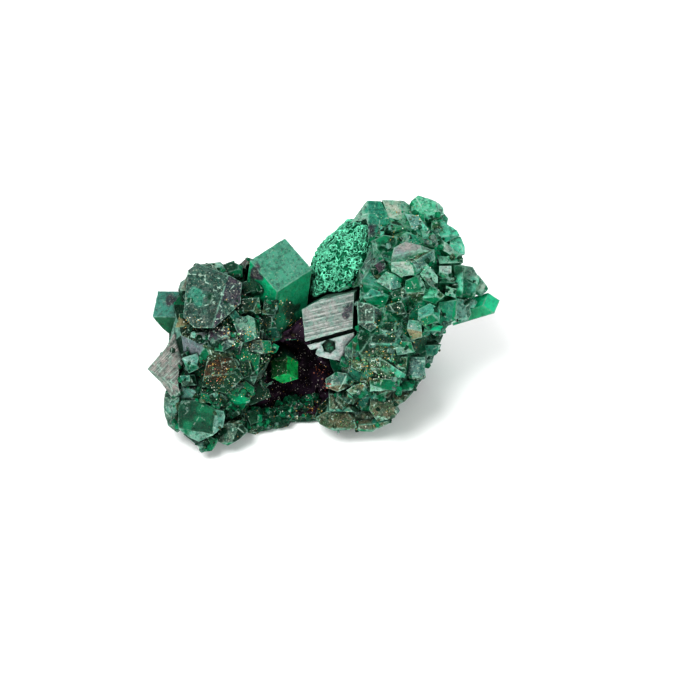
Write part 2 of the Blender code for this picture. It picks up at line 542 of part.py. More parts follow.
def rock_form(name, larger, collection, cutters):
    """The matrix rock, or a copy larger all round that cuts its seat."""
    growth = collection_of(name + "_growth", cutters)
    for index, (middle, half) in enumerate(ROCK_MASSES[1:]):
        reach = tuple(h + larger for h in half)
        helper(mass(name + "_mass", middle, reach, ROUGH, 31 + index, growth))
    middle, half = ROCK_MASSES[0]
    made = mass(name, middle, tuple(h + larger for h in half), ROUGH, 30, collection)
    boolean(made, "UNION", growth)
    return made


def malachite_form(name, larger, collection):
    """The domed crust between the lobes, or a copy larger all round that cuts its seat."""
    middle, half = MALACHITE_DOME
    dome = mass(name, (0, 0, 0), tuple(h + larger for h in half), MALACHITE_ROUGH, 50, collection, detail=3)
    leaning = Matrix(((1, MALACHITE_LEAN, 0), (0, 1, 0), (0, 0, 1)))
    dome.data.transform(Matrix.Translation(seen(*middle)) @ (SEEN_AXES @ leaning).to_4x4())
    return dome


def collection_of(name, parent):
    made = bpy.data.collections.new(name)
    parent.children.link(made)
    return made


def striated_crystal(parts, cutters):
    """The silvery block in the middle. A groove parts its ledge from its pitted lower face."""
    outline = (
        (-2.6, 1.5), (0, 2.9), (4.9, 4), (4.5, -4.6), (3.3, -6.8), (1.5, -6.8), (-1, -5.9), (-2, -4.4),
    )  # fmt: skip
    tilt = (0.05, -0.5)
    shaves = ((*LEDGE, LOWER_FACE_SLOPE),)
    made = block("striated_crystal", outline, 10.2, tilt, 9, parts, lean=(2.0, 1.5), shaves=shaves)
    (left, low), (right, high) = LEDGE
    ledge_angle = math.atan2(high - low, right - left)
    groove = bmesh.new()
    bmesh.ops.create_cube(groove, size=1)
    size = Vector((right - left, LEDGE_GROOVE, GROOVE_DEPTH)) * MM
    bmesh.ops.scale(groove, verts=groove.verts, vec=size)
    bmesh.ops.rotate(groove, verts=groove.verts, matrix=Matrix.Rotation(ledge_angle, 3, "Z"))
    bmesh.ops.rotate(groove, verts=groove.verts, matrix=SEEN_AXES)
    middle = seen((left + right) / 2 + 0.6, (low + high) / 2 - LEDGE_GROOVE * 0.8, PITS_NEAR + 0.4)
    bmesh.ops.translate(groove, verts=groove.verts, vec=middle)
    boolean(made, "DIFFERENCE", helper(new_object("ledge_groove", groove, cutters)))
    for right, up, radius, sides, turn in PITS:
        bottom, top = radius * 0.6 * MM, radius * MM
        pit = bmesh.new()
        bmesh.ops.create_cone(
            pit, cap_ends=True, segments=sides, radius1=bottom, radius2=top, depth=PITS_DEPTH * MM
        )
        bmesh.ops.rotate(pit, verts=pit.verts, matrix=Matrix.Rotation(math.radians(turn), 3, "Z"))
        bmesh.ops.rotate(pit, verts=pit.verts, matrix=SEEN_AXES)
        bmesh.ops.translate(pit, verts=pit.verts, vec=seen(right, up, PITS_NEAR))
        boolean(made, "DIFFERENCE", helper(new_object("pit", pit, cutters)))
    return made


def lower_crust(parts, cutters):
    """The chain of small crystals along the lower edge of the cavity, and its seat."""
    chance = random.Random(7)
    growth = collection_of("crust_growth", cutters)
    for right, up, near, radius in CRUST_CRYSTALS:
        for side in (-1, 1):
            axis = seen_direction(side * chance.uniform(0.2, 0.9), chance.uniform(-0.6, 0.0), 0.8)
            tip = seen(right + side * 0.5, up + chance.uniform(-0.3, 0.3), near + chance.uniform(0.0, 0.8))
            facing = Vector(chance.uniform(-1, 1) for _ in range(3))
            dioptase("crust_crystal", tip, axis, facing, radius, CRUST_CRYSTAL_LENGTH, growth)
    mass("crust_strip", *CRUST_STRIPS[1], ROUGH, 81, growth)
    for obj in growth.objects:
        helper(obj)
    made = mass("lower_crystal_crust", *CRUST_STRIPS[0], ROUGH, 80, parts)
    boolean(made, "UNION", growth)
    return made


def main():
    for obj in list(bpy.data.objects):
        bpy.data.objects.remove(obj, do_unlink=True)
    scene = bpy.context.scene.collection
    parts = collection_of("dioptase_specimen", scene)
    cutters = collection_of("cutters", scene)
    cutters.hide_render = True

    # Crystals that stand on their own
    upper = dioptase(
        "upper_crystal",
        seen(-5.0, 11.7, 3.2),
        seen_direction(0.131, 0.93, 0.342),
        TOWARD_VIEWER,
        UPPER_RADIUS,
        14,
        parts,
    )
    left_edge = block(
        "left_edge_crystal",
        ((-23.2, 4.15), (-20, 4.1), (-19.4, 2), (-20.5, -1.5), (-21.7, -2.7), (-23.3, -1.2), (-23.9, 0.5)),
        2.6,
        (0.15, -0.5),
        7,
        parts,
        lean=(4.0, -1.0),
        shaves=(((-24.5, 0.45), (-19, 0.35), 55),),
    )
    right_tip = dioptase(
        "right_tip_crystal",
        seen(25.7, 2.8, 1.0),
        seen_direction(1, 0.3, 0.3),
        TOWARD_VIEWER,
        TIP_RADIUS,
        7.5,
        parts,
    )
    in_cavity = dioptase(
        "cavity_crystal",
        seen(-4.7, -7.6, 2.6),
        seen_direction(0.15, -0.25, 1),
        seen_direction(1, 0.5, 0),
        CAVITY_CRYSTAL_RADIUS,
        11,
        parts,
    )
    striated = striated_crystal(parts, cutters)
    singles = (upper, left_edge, right_tip, in_cavity, striated)
    seats = collection_of("seats", cutters)
    for single in singles:
        grown(single, GAP, seats)

    # The masses, cut clear of those crystals and of each other
    table = bmesh.new()
    bmesh.ops.create_cube(table, size=1)
    bmesh.ops.scale(table, verts=table.verts, vec=Vector((90, 90, 20)) * MM)
    bmesh.ops.translate(table, verts=table.verts, vec=(0, 0, -10 * MM))
    table = helper(new_object("below_the_cut", table, cutters))
    malachite = malachite_form("malachite_crust", 0, parts)
    malachite_seat = helper(malachite_form("malachite_seat", SEAT, cutters))
    rock = rock_form("matrix_rock", 0, parts, cutters)
    rock_seat = helper(applied(rock_form("rock_seat", SEAT, cutters, cutters)))
    hollow = helper(mass("cavity", *CAVITY, CAVITY_ROUGH, 60, cutters))
    left = lobe("left_crystal_cluster", LEFT_MASSES, LEFT_BLOCKS, 100, parts, cutters)
    right = lobe("right_crystal_cluster", RIGHT_MASSES, RIGHT_BLOCKS, 200, parts, cutters)
    crust = lower_crust(parts, cutters)
    crust_seats = collection_of("crust_seats", cutters)
    for obj in [crust, *bpy.data.collections["crust_growth"].objects]:
        grown(obj, GAP, crust_seats)
    for obj in (malachite, rock, left, right):
        boolean(obj, "DIFFERENCE", seats)
    for obj in (rock, left, right):
        boolean(obj, "DIFFERENCE", malachite_seat)
        boolean(obj, "DIFFERENCE", crust_seats)
    for obj in (left, right):
        boolean(obj, "DIFFERENCE", rock_seat)
    boolean(rock, "DIFFERENCE", hollow)
    for obj in (malachite, rock, left, right, crust, striated):
        boolean(obj, "DIFFERENCE", table)
        applied(obj)
    for obj in parts.objects:
        obj.data.transform(Matrix.Translation(CENTRING))
    for obj in (upper, left_edge, right_tip, in_cavity):
        material(obj, EMERALD)
    for obj in (left, right, crust):
        material(obj, FROSTED_GREEN)
    material(striated, SILVERY)
    material(malachite, MALACHITE)
    material(rock, DARK_ROCK)


main()
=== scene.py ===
"""The looks of the dioptase specimen: crystal faces, malachite fibres, dark rock and grains.

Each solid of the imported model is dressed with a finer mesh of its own. Spots on the specimen are
given as it is looked at, in millimetres to the right and upwards of PICTURE_MIDDLE.
"""

import math
import random

import bpy
import numpy as np
from mathutils import Matrix, Vector, kdtree, noise
from mathutils.bvhtree import BVHTree


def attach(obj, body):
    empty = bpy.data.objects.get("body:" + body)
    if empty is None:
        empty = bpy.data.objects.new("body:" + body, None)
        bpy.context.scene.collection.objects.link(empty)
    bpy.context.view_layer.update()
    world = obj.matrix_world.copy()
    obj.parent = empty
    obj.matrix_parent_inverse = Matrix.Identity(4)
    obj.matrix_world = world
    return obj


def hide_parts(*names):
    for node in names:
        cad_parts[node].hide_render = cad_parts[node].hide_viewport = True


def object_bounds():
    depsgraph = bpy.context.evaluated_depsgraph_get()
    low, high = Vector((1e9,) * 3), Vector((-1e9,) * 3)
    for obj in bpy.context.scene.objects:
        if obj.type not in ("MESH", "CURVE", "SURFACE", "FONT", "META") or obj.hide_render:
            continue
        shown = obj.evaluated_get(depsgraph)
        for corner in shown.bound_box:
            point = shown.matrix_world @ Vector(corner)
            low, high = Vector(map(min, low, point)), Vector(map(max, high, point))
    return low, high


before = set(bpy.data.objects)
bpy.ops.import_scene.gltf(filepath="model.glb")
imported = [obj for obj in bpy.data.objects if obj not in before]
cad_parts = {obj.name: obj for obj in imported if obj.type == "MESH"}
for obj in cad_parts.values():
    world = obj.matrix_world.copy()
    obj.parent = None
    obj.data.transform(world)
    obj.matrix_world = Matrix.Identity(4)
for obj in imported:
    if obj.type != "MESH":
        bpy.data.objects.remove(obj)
cad_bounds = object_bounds()

# The view, in metres: the camera looks down on the specimen from the front
MM = 0.001
LOOK_DOWN = math.radians(40)
PICTURE_MIDDLE = Vector((-0.55, -0.3, 13.0)) * MM
AIM = (30 / 7, -30 / 7)
CAMERA_DISTANCE = 1.2
FIELD_WIDTH = 0.1
NEAREST_SEEN = 0.01

# Nearer to the viewer than any part, in millimetres
BEFORE_ALL = 60

# How finely the faces are split, and how far their edges are worn, in millimetres
FINE = 0.5
FINEST = 0.22
SAME_FACET = math.radians(4)
SHARP = math.radians(22)
WEAR_WIDTH = 0.42
WEAR_DEPTH = 0.12
LEAST_WEAR = 0.35
CHIP_SCALE = 1.3
HOLLOW_WIDTH = 0.6
ROUGHNESS_HEIGHT = 0.045
ROUGHNESS_SCALE = 2.2
STREAK_HEIGHT = 0.05
STREAK_SCALE = 1.9
STREAKS_CUT_FROM = 0.5

# Shelter, where others stand close before a face, which sets the painted shade in gaps: rays, their slope,
# start and reach, and its gain
SHELTER_RAYS = 6
SHELTER_SLOPE = math.radians(52)
SHELTER_START = 0.03
SHELTER_REACH = 1.6
SHELTER_GAIN = 1.8

# Gaps: how dark their painted shade is, or the painted green glow in them as of light coming through,
# how far that glow lifts the painted shade, and from where to where it sets in
GAP_PAINTED_SHADE = 0.5
SHELTER_CURVE = 0.8
PAINTED_GLOW_GREEN = (0, 150, 106)
GAP_GLOW_LIFTS_SHADE = 0.6
GAP_GLOW_FROM = (-7, 0)

# A crystal face's looks: its daylight colour, then clearness, streaks and mottling from 0 to 1
LOOKS = {
    "frost": ((120, 154, 142), 0, 0.12, 0.45),
    "pale": ((152, 156, 148), 0, 0.15, 0.4),
    "grey_green": ((90, 112, 104), 0, 0.14, 0.5),
    "slate": ((76, 90, 85), 0, 0.14, 0.5),
    "frosted_teal": ((80, 140, 124), 0.1, 0.05, 0.4),
    "edge_teal": ((96, 136, 126), 0, 0.1, 0.45),
    "teal": ((56, 128, 110), 0.2, 0.1, 0.4),
    "pit_green": ((60, 200, 156), 0.3, 0.05, 0.8),
    "bright": ((102, 176, 152), 0.2, 0.12, 0.45),
    "emerald": ((0, 130, 92), 0.6, 0.08, 0.35),
    "deep": ((0, 84, 58), 0.7, 0.08, 0.4),
    "dark_green": ((6, 60, 42), 0.4, 0.08, 0.45),
    "bright_emerald": ((0, 164, 118), 0.6, 0.05, 0.25),
    # The next two looks are painted glow: greens brighter than the crystal's own, as of light coming
    # through; the cave one is painted bright to show in its shaded cavity
    "glow": ((0, 206, 150), 0.6, 0.05, 0.25),
    "cave_green_painted_glow": ((10, 224, 130), 0.5, 0.05, 0.55),
    "cave_dark": ((0, 104, 50), 0.5, 0.05, 0.6),
    "grey": ((134, 136, 138), 0, 0.12, 0.3),
    # The next three looks are painted glare: grey and white in place of the crystal's green where faces
    # catch the light above; their streaks are the faces' own
    "silver_glare": ((147, 145, 141), 0, 1.0, 0.35),
    "white": ((148, 138, 136), 0, 0.75, 0.4),
    "ledge_glare": ((200, 200, 192), 0, 0.75, 0.3),
    "purple": ((80, 70, 80), 0, 0.12, 0.5),
    "dark_purple": ((40, 28, 42), 0, 0.1, 0.6),
    "olive": ((72, 84, 62), 0, 0.1, 0.65),
    "grey_olive": ((98, 98, 80), 0, 0.3, 0.55),
    "cream": ((146, 138, 112), 0, 0.2, 0.4),
    "brown": ((66, 52, 40), 0, 0.1, 0.35),
}

# The share of a look's light that a face gives back, and how far faces of one look differ
DEPTH_OF_COLOUR = 0.85
FACE_TONES = (0.82, 1.18)
RED_TINTS = (0.88, 1.12)
BLUE_TINTS = (0.92, 1.08)

# Which faces have which look: each spot is the place of a face that the viewer sees
FACES = {
    "frost": (
        (-10.5, -0.7), (-14.6, -14.6), (-17.5, -16.8), (12.3, 16), (17.2, 16.3), (13.5, 14.2), (15, 13.8),
        (14.8, 12), (18.5, 8.6), (12, 6.4), (9.4, 5.9), (10.8, 5.6), (15, 6.7), (16.2, 6.6), (18.6, 4.2),
        (21, 7), (22.4, 6), (16, -2.6), (9.5, -1.8), (9, -9.9), (19.7, 1.5), (-18.6, -5.6),
    ),
    "pale": (
        (-19.3, 5.2), (-15.2, 7.7), (10.5, 16.2), (17.8, 10.5), (11.6, 7.5), (13.7, 7.3), (17.8, 7.2),
        (23.3, 4.6),
    ),
    "white": ((-10.6, 8.3), (-21.8, -9.7)),
    "ledge_glare": ((1, -5.4), (3.2, -3.6), (1, -2.2)),
    "pit_green": ((1.35, -3.85), (1.1, -3.4), (0.7, -3.8)),
    "grey": ((12.8, 9.6), (12.2, 10.4), (-19.4, -3.4)),
    "grey_green": (
        (-13.7, -3.8), (-18.9, -7), (-21, -13), (-12.3, -16.3), (5.3, 15.3), (7.8, 14.5), (14.8, 15.3),
        (15.6, 9.1), (9.6, 4.7), (15.9, 5.2), (17.7, 6.2), (21, 1.5), (16, -3.4), (13.7, -6.5), (1.9, -8.5),
    ),
    "edge_teal": ((-22, 3),),
    "slate": ((-17, 4), (6.5, 1), (8.2, 1), (6.5, -0.8)),
    "frosted_teal": ((-5.5, 8.5), (15.3, 1.2), (-20.6, 3.2)),
    "teal": (
        (-9.5, -2.4), (-7.2, -1.8), (-18.5, -6.6), (-18.8, -8.6), (9.8, 14), (15.9, 14.8), (17.6, 11.9),
        (21.5, 5), (18, 1.2), (16.4, 0.5), (7.8, 3.4), (16, -4.5), (-12.2, 0.6),
    ),
    "bright": ((15, 16.8), (18, 13.3), (16.5, 12.9), (19.5, 12.2), (19.8, 10.6)),
    "emerald": (
        (-22, -0.6), (11.6, -3.9), (20, 5), (20.2, 4.2), (-12, -10.4), (-11.5, -12.2), (15.3, 10.8),
        (12.8, 5.1), (9.3, 3.1), (15.5, -1), (16.5, -0.9), (9, -8.8), (12.4, -9.3), (-16, -18),
    ),
    "bright_emerald": ((-3.5, 4),),
    "glow": ((-8.2, 4.2), (24, 3.4), (22.6, 2.2), (23.4, 1.2), (16.5, -1.1)),
    "cave_green_painted_glow": ((-4.4, -6.2), (-4.6, -8.2)),
    "cave_dark": ((-6.2, -6.4),),
    "deep": (
        (-17.5, -13.5), (-12.2, 7.2), (-9.6, 5.3), (-8.4, -1), (-14, -11.3), (10.5, 12.9), (17.9, 5.4),
        (19.7, 6.5), (12.5, 2.4), (9.5, -0.8), (14.2, -3.3),
    ),
    "dark_green": (
        (-9.6, 4), (-9.9, 2.2), (-14, -9), (-11.5, -8), (-10.6, -6.5), (-16, -10), (9.3, 10.9), (11, 11.4),
        (9.2, 9.4), (10.7, 3.3), (10.5, 1.8), (11.8, 0.9), (8.8, -2.8), (9, -4), (5.5, -5.5), (10.8, -11),
        (6.4, -2.4), (6.6, -1.6),
    ),
    "silver_glare": ((-21.8, -6), (1, 1)),
    "purple": ((-12.8, 3.4), (-14.2, -2), (-16.8, -2.4), (-11.2, -4.2), (8.8, 7.9)),
    "dark_purple": ((-19.8, -8.6), (-20.1, -9.4)),
    "olive": (
        (-8.5, 2.2), (-8.7, -3.7), (11, -6.2), (8.2, -6.3), (5, -7), (11.8, -5.8), (9.3, 0.6), (9, -14.3),
        (6.3, -13.9), (7.6, -12),
    ),
    "grey_olive": (
        (2.9, -9.6), (5.5, -9.8), (1.8, -11), (3, -12), (5, -11.9), (9, -12.6), (1.8, -14.6), (4.3, -14.7),
        (8.6, -15), (9.6, -14.8), (7.8, -14.9),
    ),
    "cream": ((-19, -0.5), (-8.4, -4.5), (13.5, -1.5)),
    "brown": ((-14, -6.8),),
}

# Which way a face's streaks run, as it is looked at: a spot on the face, then right and up
STREAKS = (
    ((-21.8, -6), (1, 1.15)), ((-19.5, -4), (1, 1.15)), ((1, 1), (1, 0.27)), ((1, -1.9), (1, 0.27)),
    ((2.9, -4), (1, 0.27)), ((-21.8, -9.7), (1, -0.8)),
)

# The rims of the patches: lumps per mm, how ragged and sharp, and how far out they reach
PATCH_SCALE = 0.8
PATCH_RAGGEDNESS = 0.9
PATCH_SHARPNESS = 2.4
PATCH_FURTHEST = 1.6

# Patches of another look on a face: (right, up, how far around, look)
PATCHES = (
    (-17.4, 3, 1.7, "frosted_teal"), (-15.4, 3.2, 0.75, "deep"), (-15.2, 0.9, 0.6, "dark_green"),
    (-12.8, 1.2, 1.3, "grey_green"), (-21.2, 2.8, 0.9, "purple"), (-9.3, 6.9, 1.5, "purple"),
    (-7.1, 1.8, 1.3, "dark_green"), (3.9, -6, 0.9, "grey_green"), (-0.6, -5.6, 0.8, "grey_green"),
    (4.2, 1.8, 0.8, "purple"), (3.6, 0.6, 0.6, "purple"), (7.6, 16.2, 1.3, "teal"),
    (6.9, 13, 1.3, "purple"), (16.6, 13.3, 0.9, "olive"), (-16.4, -12.8, 2.2, "emerald"),
    (-18.6, -15.2, 1.2, "emerald"), (-3.9, 1.2, 1.6, "deep"), (-11.8, -8.8, 2.8, "deep"),
    (-14.6, -7, 1.9, "brown"), (-11, -11.2, 2.2, "emerald"), (-11.6, -11.6, 1.5, "glow"),
    (20.2, 4.8, 1.6, "bright"), (22.2, 5.2, 1.3, "bright"), (9.8, -0.6, 2.2, "dark_green"),
    (8.4, -6.4, 2.4, "olive"), (9.4, 11.6, 1.8, "emerald"), (11.6, 13.2, 1.2, "emerald"),
    (7.6, 5.4, 1.6, "frosted_teal"), (6.4, 3, 1.2, "frosted_teal"), (-16.8, -2.4, 1.4, "grey"),
    (-14, -1.8, 1.5, "purple"), (-11.6, -2.4, 1.6, "purple"), (-9, -3.6, 1.6, "slate"),
    (-15.4, 1.6, 1.3, "slate"), (-20.6, -12.6, 1.6, "frost"), (11.6, 8.9, 1.3, "grey"),
    (9.8, 10.4, 1.3, "dark_green"), (-8.4, -8.4, 1.5, "dark_purple"), (-2, -12.2, 2.4, "dark_purple"),
    (4, -11.5, 1.8, "olive"), (7, -9.2, 1.5, "olive"), (4.6, -6.6, 2.2, "olive"),
    (11, -12, 2.4, "grey_olive"), (5.4, -14.2, 2.6, "grey_olive"),
)

# What starts the random draws of each
SEEDS = {
    "grains": 60, "bed": 70, "fine_bed": 71, "fibres": 72, "fibre_places": 73, "rock": 80, "ridges": 81,
}

# A little over a full turn, in radians
ANY_TURN = 6.3

# The malachite's bed: how far below the solid's face it lies, its lumps, and how many per mm
MALACHITE_BED = (24, 116, 84)
BED_DEPTH = 0.22
BED_LUMPS = 0.16
BED_SCALE = 0.9
FINE_BED_SCALE = 2.0
FINE_BED_SHARE = 0.6

# Malachite fibres: how many, their colour, the painted shade of low ones and painted light of raised ones,
# their tones, sizes in millimetres, and how fast they curl
MALACHITE_FIBRE = (108, 192, 160)
LOW_FIBRE_PAINTED_SHADE = 0.5
PAINTED_LIGHT_WITH_LIFT = 3.2
FIBRE_TONES = (0.8, 1.15)
FIBRES = 3000
FIBRE_RADII = (0.07, 0.125)
FIBRE_LIFT = 0.22
FIBRE_ARCH = 0.12
FIBRE_ROOT = 0.1
FIBRE_TURNS = (0.3, 0.95)
FIBRE_WANDER = 0.18
FIBRE_STEPS = 8
FIBRE_STEP = 0.16
TUBE_SIDES = 5

# The rock's surface: how far below the solid's face it lies, its lumps, ridges and even foot
ROCK_DEPTH = 0.3
ROCK_LUMPS = 0.35
ROCK_SCALE = 0.7
ROCK_RIDGES = 0.25
RIDGE_SCALE = 1.8
ROCK_FOOT = 0.6

# Small crystals: the room above one, the lowest, how often one is on a wide face, and their form
OPEN_ROOM = 0.6
ROOM_START = 0.02
LOWEST_GROWTH = 1.4
ON_WIDE_FACE = 0.06
ROOF_SLOPE = math.radians(50.9)
PRISM_LENGTH = 2.2
LEAN = 0.6
CRYSTAL_WIDTHS = (0.7, 1)
CRYSTAL_LENGTHS = (0.6, 0.9)
TIP_HEIGHTS = (0.25, 0.7)
CRYSTAL_TONES = (0.75, 1.25)
FACES_BACK = -0.5
SMALL_MIX = (("emerald", 5), ("grey_green", 3), ("frost", 1), ("olive", 2), ("dark_green", 6), ("deep", 4))
CRUST_MIX = (("emerald", 5), ("deep", 6), ("grey_green", 1), ("olive", 1), ("dark_green", 3))
SINGLE_MIX = (("emerald", 5), ("teal", 3), ("frosted_teal", 2), ("glow", 2))
DRUSE_MIX = (("dark_purple", 6), ("dark_green", 2), ("brown", 1))

# Where they grow: (piece, node, tries, seed, radii, from how many mm2 a face is wide, looks, slot)
GROWTHS = (
    ("left_overgrowth", "left_crystal_cluster", 3600, 51, (0.2, 0.6), 2.6, SMALL_MIX, "frosted_crystal"),
    ("right_overgrowth", "right_crystal_cluster", 3800, 52, (0.2, 0.6), 2.2, SMALL_MIX, "frosted_crystal"),
    ("crust_overgrowth", "lower_crystal_crust", 700, 53, (0.2, 0.5), 3.0, CRUST_MIX, "frosted_crystal"),
    ("rock_druse", "matrix_rock", 2600, 54, (0.12, 0.34), 3.0, DRUSE_MIX, "matrix"),
)

# Grains: their colours, sizes, shapes and tones
GRAIN_COLOURS = {
    "gold": (178, 150, 92),
    "white": (214, 214, 200),
    "orange": (140, 84, 50),
    "pink": (176, 116, 100),
    "magenta": (110, 28, 58),
    "green": (110, 170, 120),
}
LEAST_GRAIN = 0.35
GRAIN_SPREAD = 1.1
GRAIN_SHAPES = (0.7, 1.4)
GRAIN_TONES = (0.7, 1.2)
DUST = ("gold", "green", "white")

# Where they lie: (right, up, how far around, how many, radius, colours)
GRAINS = (
    (-9.2, -4, 3.2, 240, 0.1, DUST), (-15.2, -7.2, 2.4, 110, 0.085, ("gold", "pink", "orange")),
    (-14.6, -9.2, 3, 90, 0.08, DUST), (-12.3, -9.6, 3.2, 150, 0.075, ("white", "green", "gold")),
    (-13.4, -1, 1.6, 60, 0.11, ("gold", "white")), (-18, -1, 1.5, 60, 0.1, ("gold", "white")),
    (-6.4, 1.2, 2.6, 90, 0.09, DUST), (-11.2, 3.4, 2.2, 50, 0.09, ("gold", "white")),
    (-3.2, -9.2, 5.2, 420, 0.08, ("white", "white", "gold")),
    (-3.8, -1.6, 2.2, 60, 0.08, ("white", "gold")), (0.2, -7.4, 1.2, 30, 0.1, ("orange", "pink")),
    (-1, -12.9, 1.3, 40, 0.12, ("orange", "gold")), (0.8, -9.3, 0.8, 30, 0.12, ("magenta", "pink")),
    (8.6, -6.4, 2.8, 150, 0.1, DUST), (5.4, -7.2, 2, 90, 0.1, ("gold", "green")),
    (6, -12.4, 4, 110, 0.09, DUST), (11.6, -0.6, 4.2, 190, 0.09, DUST),
    (12, 14, 3.6, 110, 0.09, ("white", "gold", "green")), (13, 5.2, 4, 110, 0.08, ("white", "green")),
    (-7.6, -15, 4.4, 160, 0.09, DUST),
)

# Looks for faces that no spot names, on the front and elsewhere, and how often each comes
FRONT_MIX = (("grey_green", 4), ("dark_green", 5), ("emerald", 5), ("olive", 3), ("frost", 2), ("deep", 3))
RIGHT_MIX = (
    ("grey_green", 4), ("emerald", 6), ("teal", 4), ("frost", 4), ("dark_green", 3), ("bright", 3),
    ("olive", 2),
)
OTHER_MIX = (
    ("grey_green", 6), ("teal", 3), ("emerald", 4), ("deep", 3), ("frost", 3), ("purple", 1), ("olive", 2),
)
FRONT_FACING = 0.2

# Mottling, from the bottom up: (name, lumps per mm, detail, roughness, the window of noise that it
# fills, its share, what that share follows, colour, and whether the colour tints the face's own)
MOTTLING = (
    ("clouds", 0.55, 6.0, 0.68, (0.47, 0.54), 1.2, "mottle", (0.2, 0.5, 0.44), True),
    ("green", 1.3, 4.0, 0.62, (0.5, 0.56), 0.9, "mottle", (0.35, 1.1, 0.9), True),
    ("veils", 0.9, 5.0, 0.66, (0.52, 0.58), 0.9, "often", (0.09, 0.2, 0.15), False),
    ("specks", 3.4, 3.0, 0.75, (0.56, 0.63), 1.6, "often", (0.4, 0.42, 0.32), False),
    ("pits", 2.0, 5.0, 0.72, (0.52, 0.57), 1.1, "mottle", (0.002, 0.012, 0.008), False),
)

# Glassy veins: cells per mm, how thin they are, which green noise they are in, and their colour
VEIN_CELLS = 0.36
VEIN_EDGE = (0.045, 0.015)
VEIN_WINDOW = (0.52, 0.57)
VEIN_COLOUR = (0.34, 0.46, 0.39)

# Streaks along the growth lines: how many per mm, where they break off, and their looks, each
# (window of noise, share, colour)
LINES_PER_MM = 3.2
STREAK_BREAKS = (0.44, 0.56, 0.25, 1.0)
STREAK_LINES = (
    ((0.5, 0.66), 0.55, (0.56, 0.56, 0.54)),
    ((0.46, 0.32), 0.6, (0.04, 0.045, 0.045)),
)

# Pale edges, partly wear and partly painted highlight, chipped off here and there, and painted shade in the
# hollows
EDGE_WINDOW = (0.5, 1.0)
CHIPS_PER_MM = 1.6
CHIP_WINDOW = (0.36, 0.6)
WORN_AND_HIGHLIGHT_SHARE = 0.75
WORN_AND_HIGHLIGHT_COLOUR = (0.21, 0.38, 0.3)
CREVICE_SHADE_SHARE = 0.8
CREVICE_SHADE_COLOUR = (0.002, 0.012, 0.008)

# How rough a clear face is, and how much rougher frosting and specks make it
CLEAR_ROUGHNESS = 0.14
FROSTED_ROUGHNESS = 0.3
SPECK_ROUGHNESS = 0.16

# The relief of streaks and clouds beside that of the specks
STREAK_RELIEF = 1.2
CLOUD_RELIEF = 1.6

# Clear crystal takes up light: the colour that it lets through, and its density per metre
CRYSTAL_TINT = (0.0, 0.8, 0.55)
CRYSTAL_DENSITY = 170.0

# Noise on grains, fibres and rock: its window, and the shades that it gives
SPECK_WINDOW = (0.3, 0.7)
SPECK_SHADES = (0.35, 0.65, 0.55, 1.25)

# The rock's roughness, and its colours, each over the last: (noise, window, colour)
ROCK_ROUGHNESS = (0.35, 0.75)
ROCK_DARK = (0.01, 0.006, 0.01)
ROCK_COLOURS = (
    ("lumps", (0.42, 0.6), (0.045, 0.025, 0.045)),
    ("fine", (0.56, 0.68), (0.05, 0.035, 0.045)),
    ("fine", (0.66, 0.74), (0.3, 0.28, 0.27)),
)

# Light: (name, place, size in metres, watts), and the sky's strength
LAMPS = (
    ("key", (-0.2, -0.25, 0.5), 0.3, 2.2),
    ("top", (0.15, 0.3, 0.55), 0.5, 0.8),
    ("front", (0.25, -0.6, 0.3), 0.4, 2.0),
)
SKY = 0.45
FLOOR_REACH = 3.0


def seen(right, up, near=0.0):
    """The world place, in metres, of a spot that the viewer sees."""
    y = up * math.sin(LOOK_DOWN) - near * math.cos(LOOK_DOWN)
    z = up * math.cos(LOOK_DOWN) + near * math.sin(LOOK_DOWN)
    return PICTURE_MIDDLE + Vector((right, y, z)) * MM


TOWARD_VIEWER = (seen(0, 0, 1) - seen(0, 0, 0)).normalized()
UPWARD_SEEN = (seen(0, 1, 0) - seen(0, 0, 0)).normalized()


def linear(colour):
    """A daylight colour, from 0 to 255, as the light values that the shader takes."""
    share = np.asarray(colour, float) / 255
    return np.where(share <= 0.04045, share / 12.92, ((share + 0.055) / 1.055) ** 2.4)


# Meshes as arrays of points and triangles


def welded(node):
    """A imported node's points and triangles, with the points of its flat shading joined."""
    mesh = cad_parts[node].data
    mesh.calc_loop_triangles()
    points = np.empty(len(mesh.vertices) * 3, np.float32)
    mesh.vertices.foreach_get("co", points)
    triangles = np.empty(len(mesh.loop_triangles) * 3, np.int32)
    mesh.loop_triangles.foreach_get("vertices", triangles)
    points, same = np.unique(points.reshape(-1, 3), axis=0, return_inverse=True)
    triangles = same.reshape(-1)[triangles.reshape(-1, 3)]
    whole = (triangles != np.roll(triangles, 1, axis=1)).all(axis=1)
    return points.astype(float), triangles[whole]


def square_to(points, triangles):
    """A vector square to each triangle, twice as long as the triangle's area."""
    a, b, c = (points[triangles[:, i]] for i in range(3))
    return np.cross(b - a, c - a)


def unit(vectors):
    return vectors / np.maximum(np.linalg.norm(vectors, axis=1, keepdims=True), 1e-20)


def normals_of(points, triangles):
    """The direction that each triangle faces."""
    return unit(square_to(points, triangles))


def point_normals(points, triangles):
    """The direction that the surface faces at each point."""
    square = square_to(points, triangles)
    total = np.zeros_like(points)
    for i in range(3):
        np.add.at(total, triangles[:, i], square)
    return unit(total)


def areas_of(points, triangles):
    return np.linalg.norm(square_to(points, triangles), axis=1) / 2


def numbered_edges(triangles):
    """The edges, each a pair of points, and the numbers of the edges of each triangle."""
    sides = np.sort(triangles[:, [[0, 1], [1, 2], [2, 0]]].reshape(-1, 2), axis=1).astype(np.int64)
    most = int(triangles.max()) + 1
    keys, edge = np.unique(sides[:, 0] * most + sides[:, 1], return_inverse=True)
    return np.stack((keys // most, keys % most), axis=1), edge.reshape(-1, 3)


def neighbours(triangles):
    """The pairs of triangles that share an edge, and that edge's two points."""
    edges, edge = numbered_edges(triangles)
    order = np.argsort(edge.reshape(-1), kind="stable")
    owner = order // 3
    number = edge.reshape(-1)[order]
    shared = number[1:] == number[:-1]
    return owner[:-1][shared], owner[1:][shared], edges[number[1:][shared]]


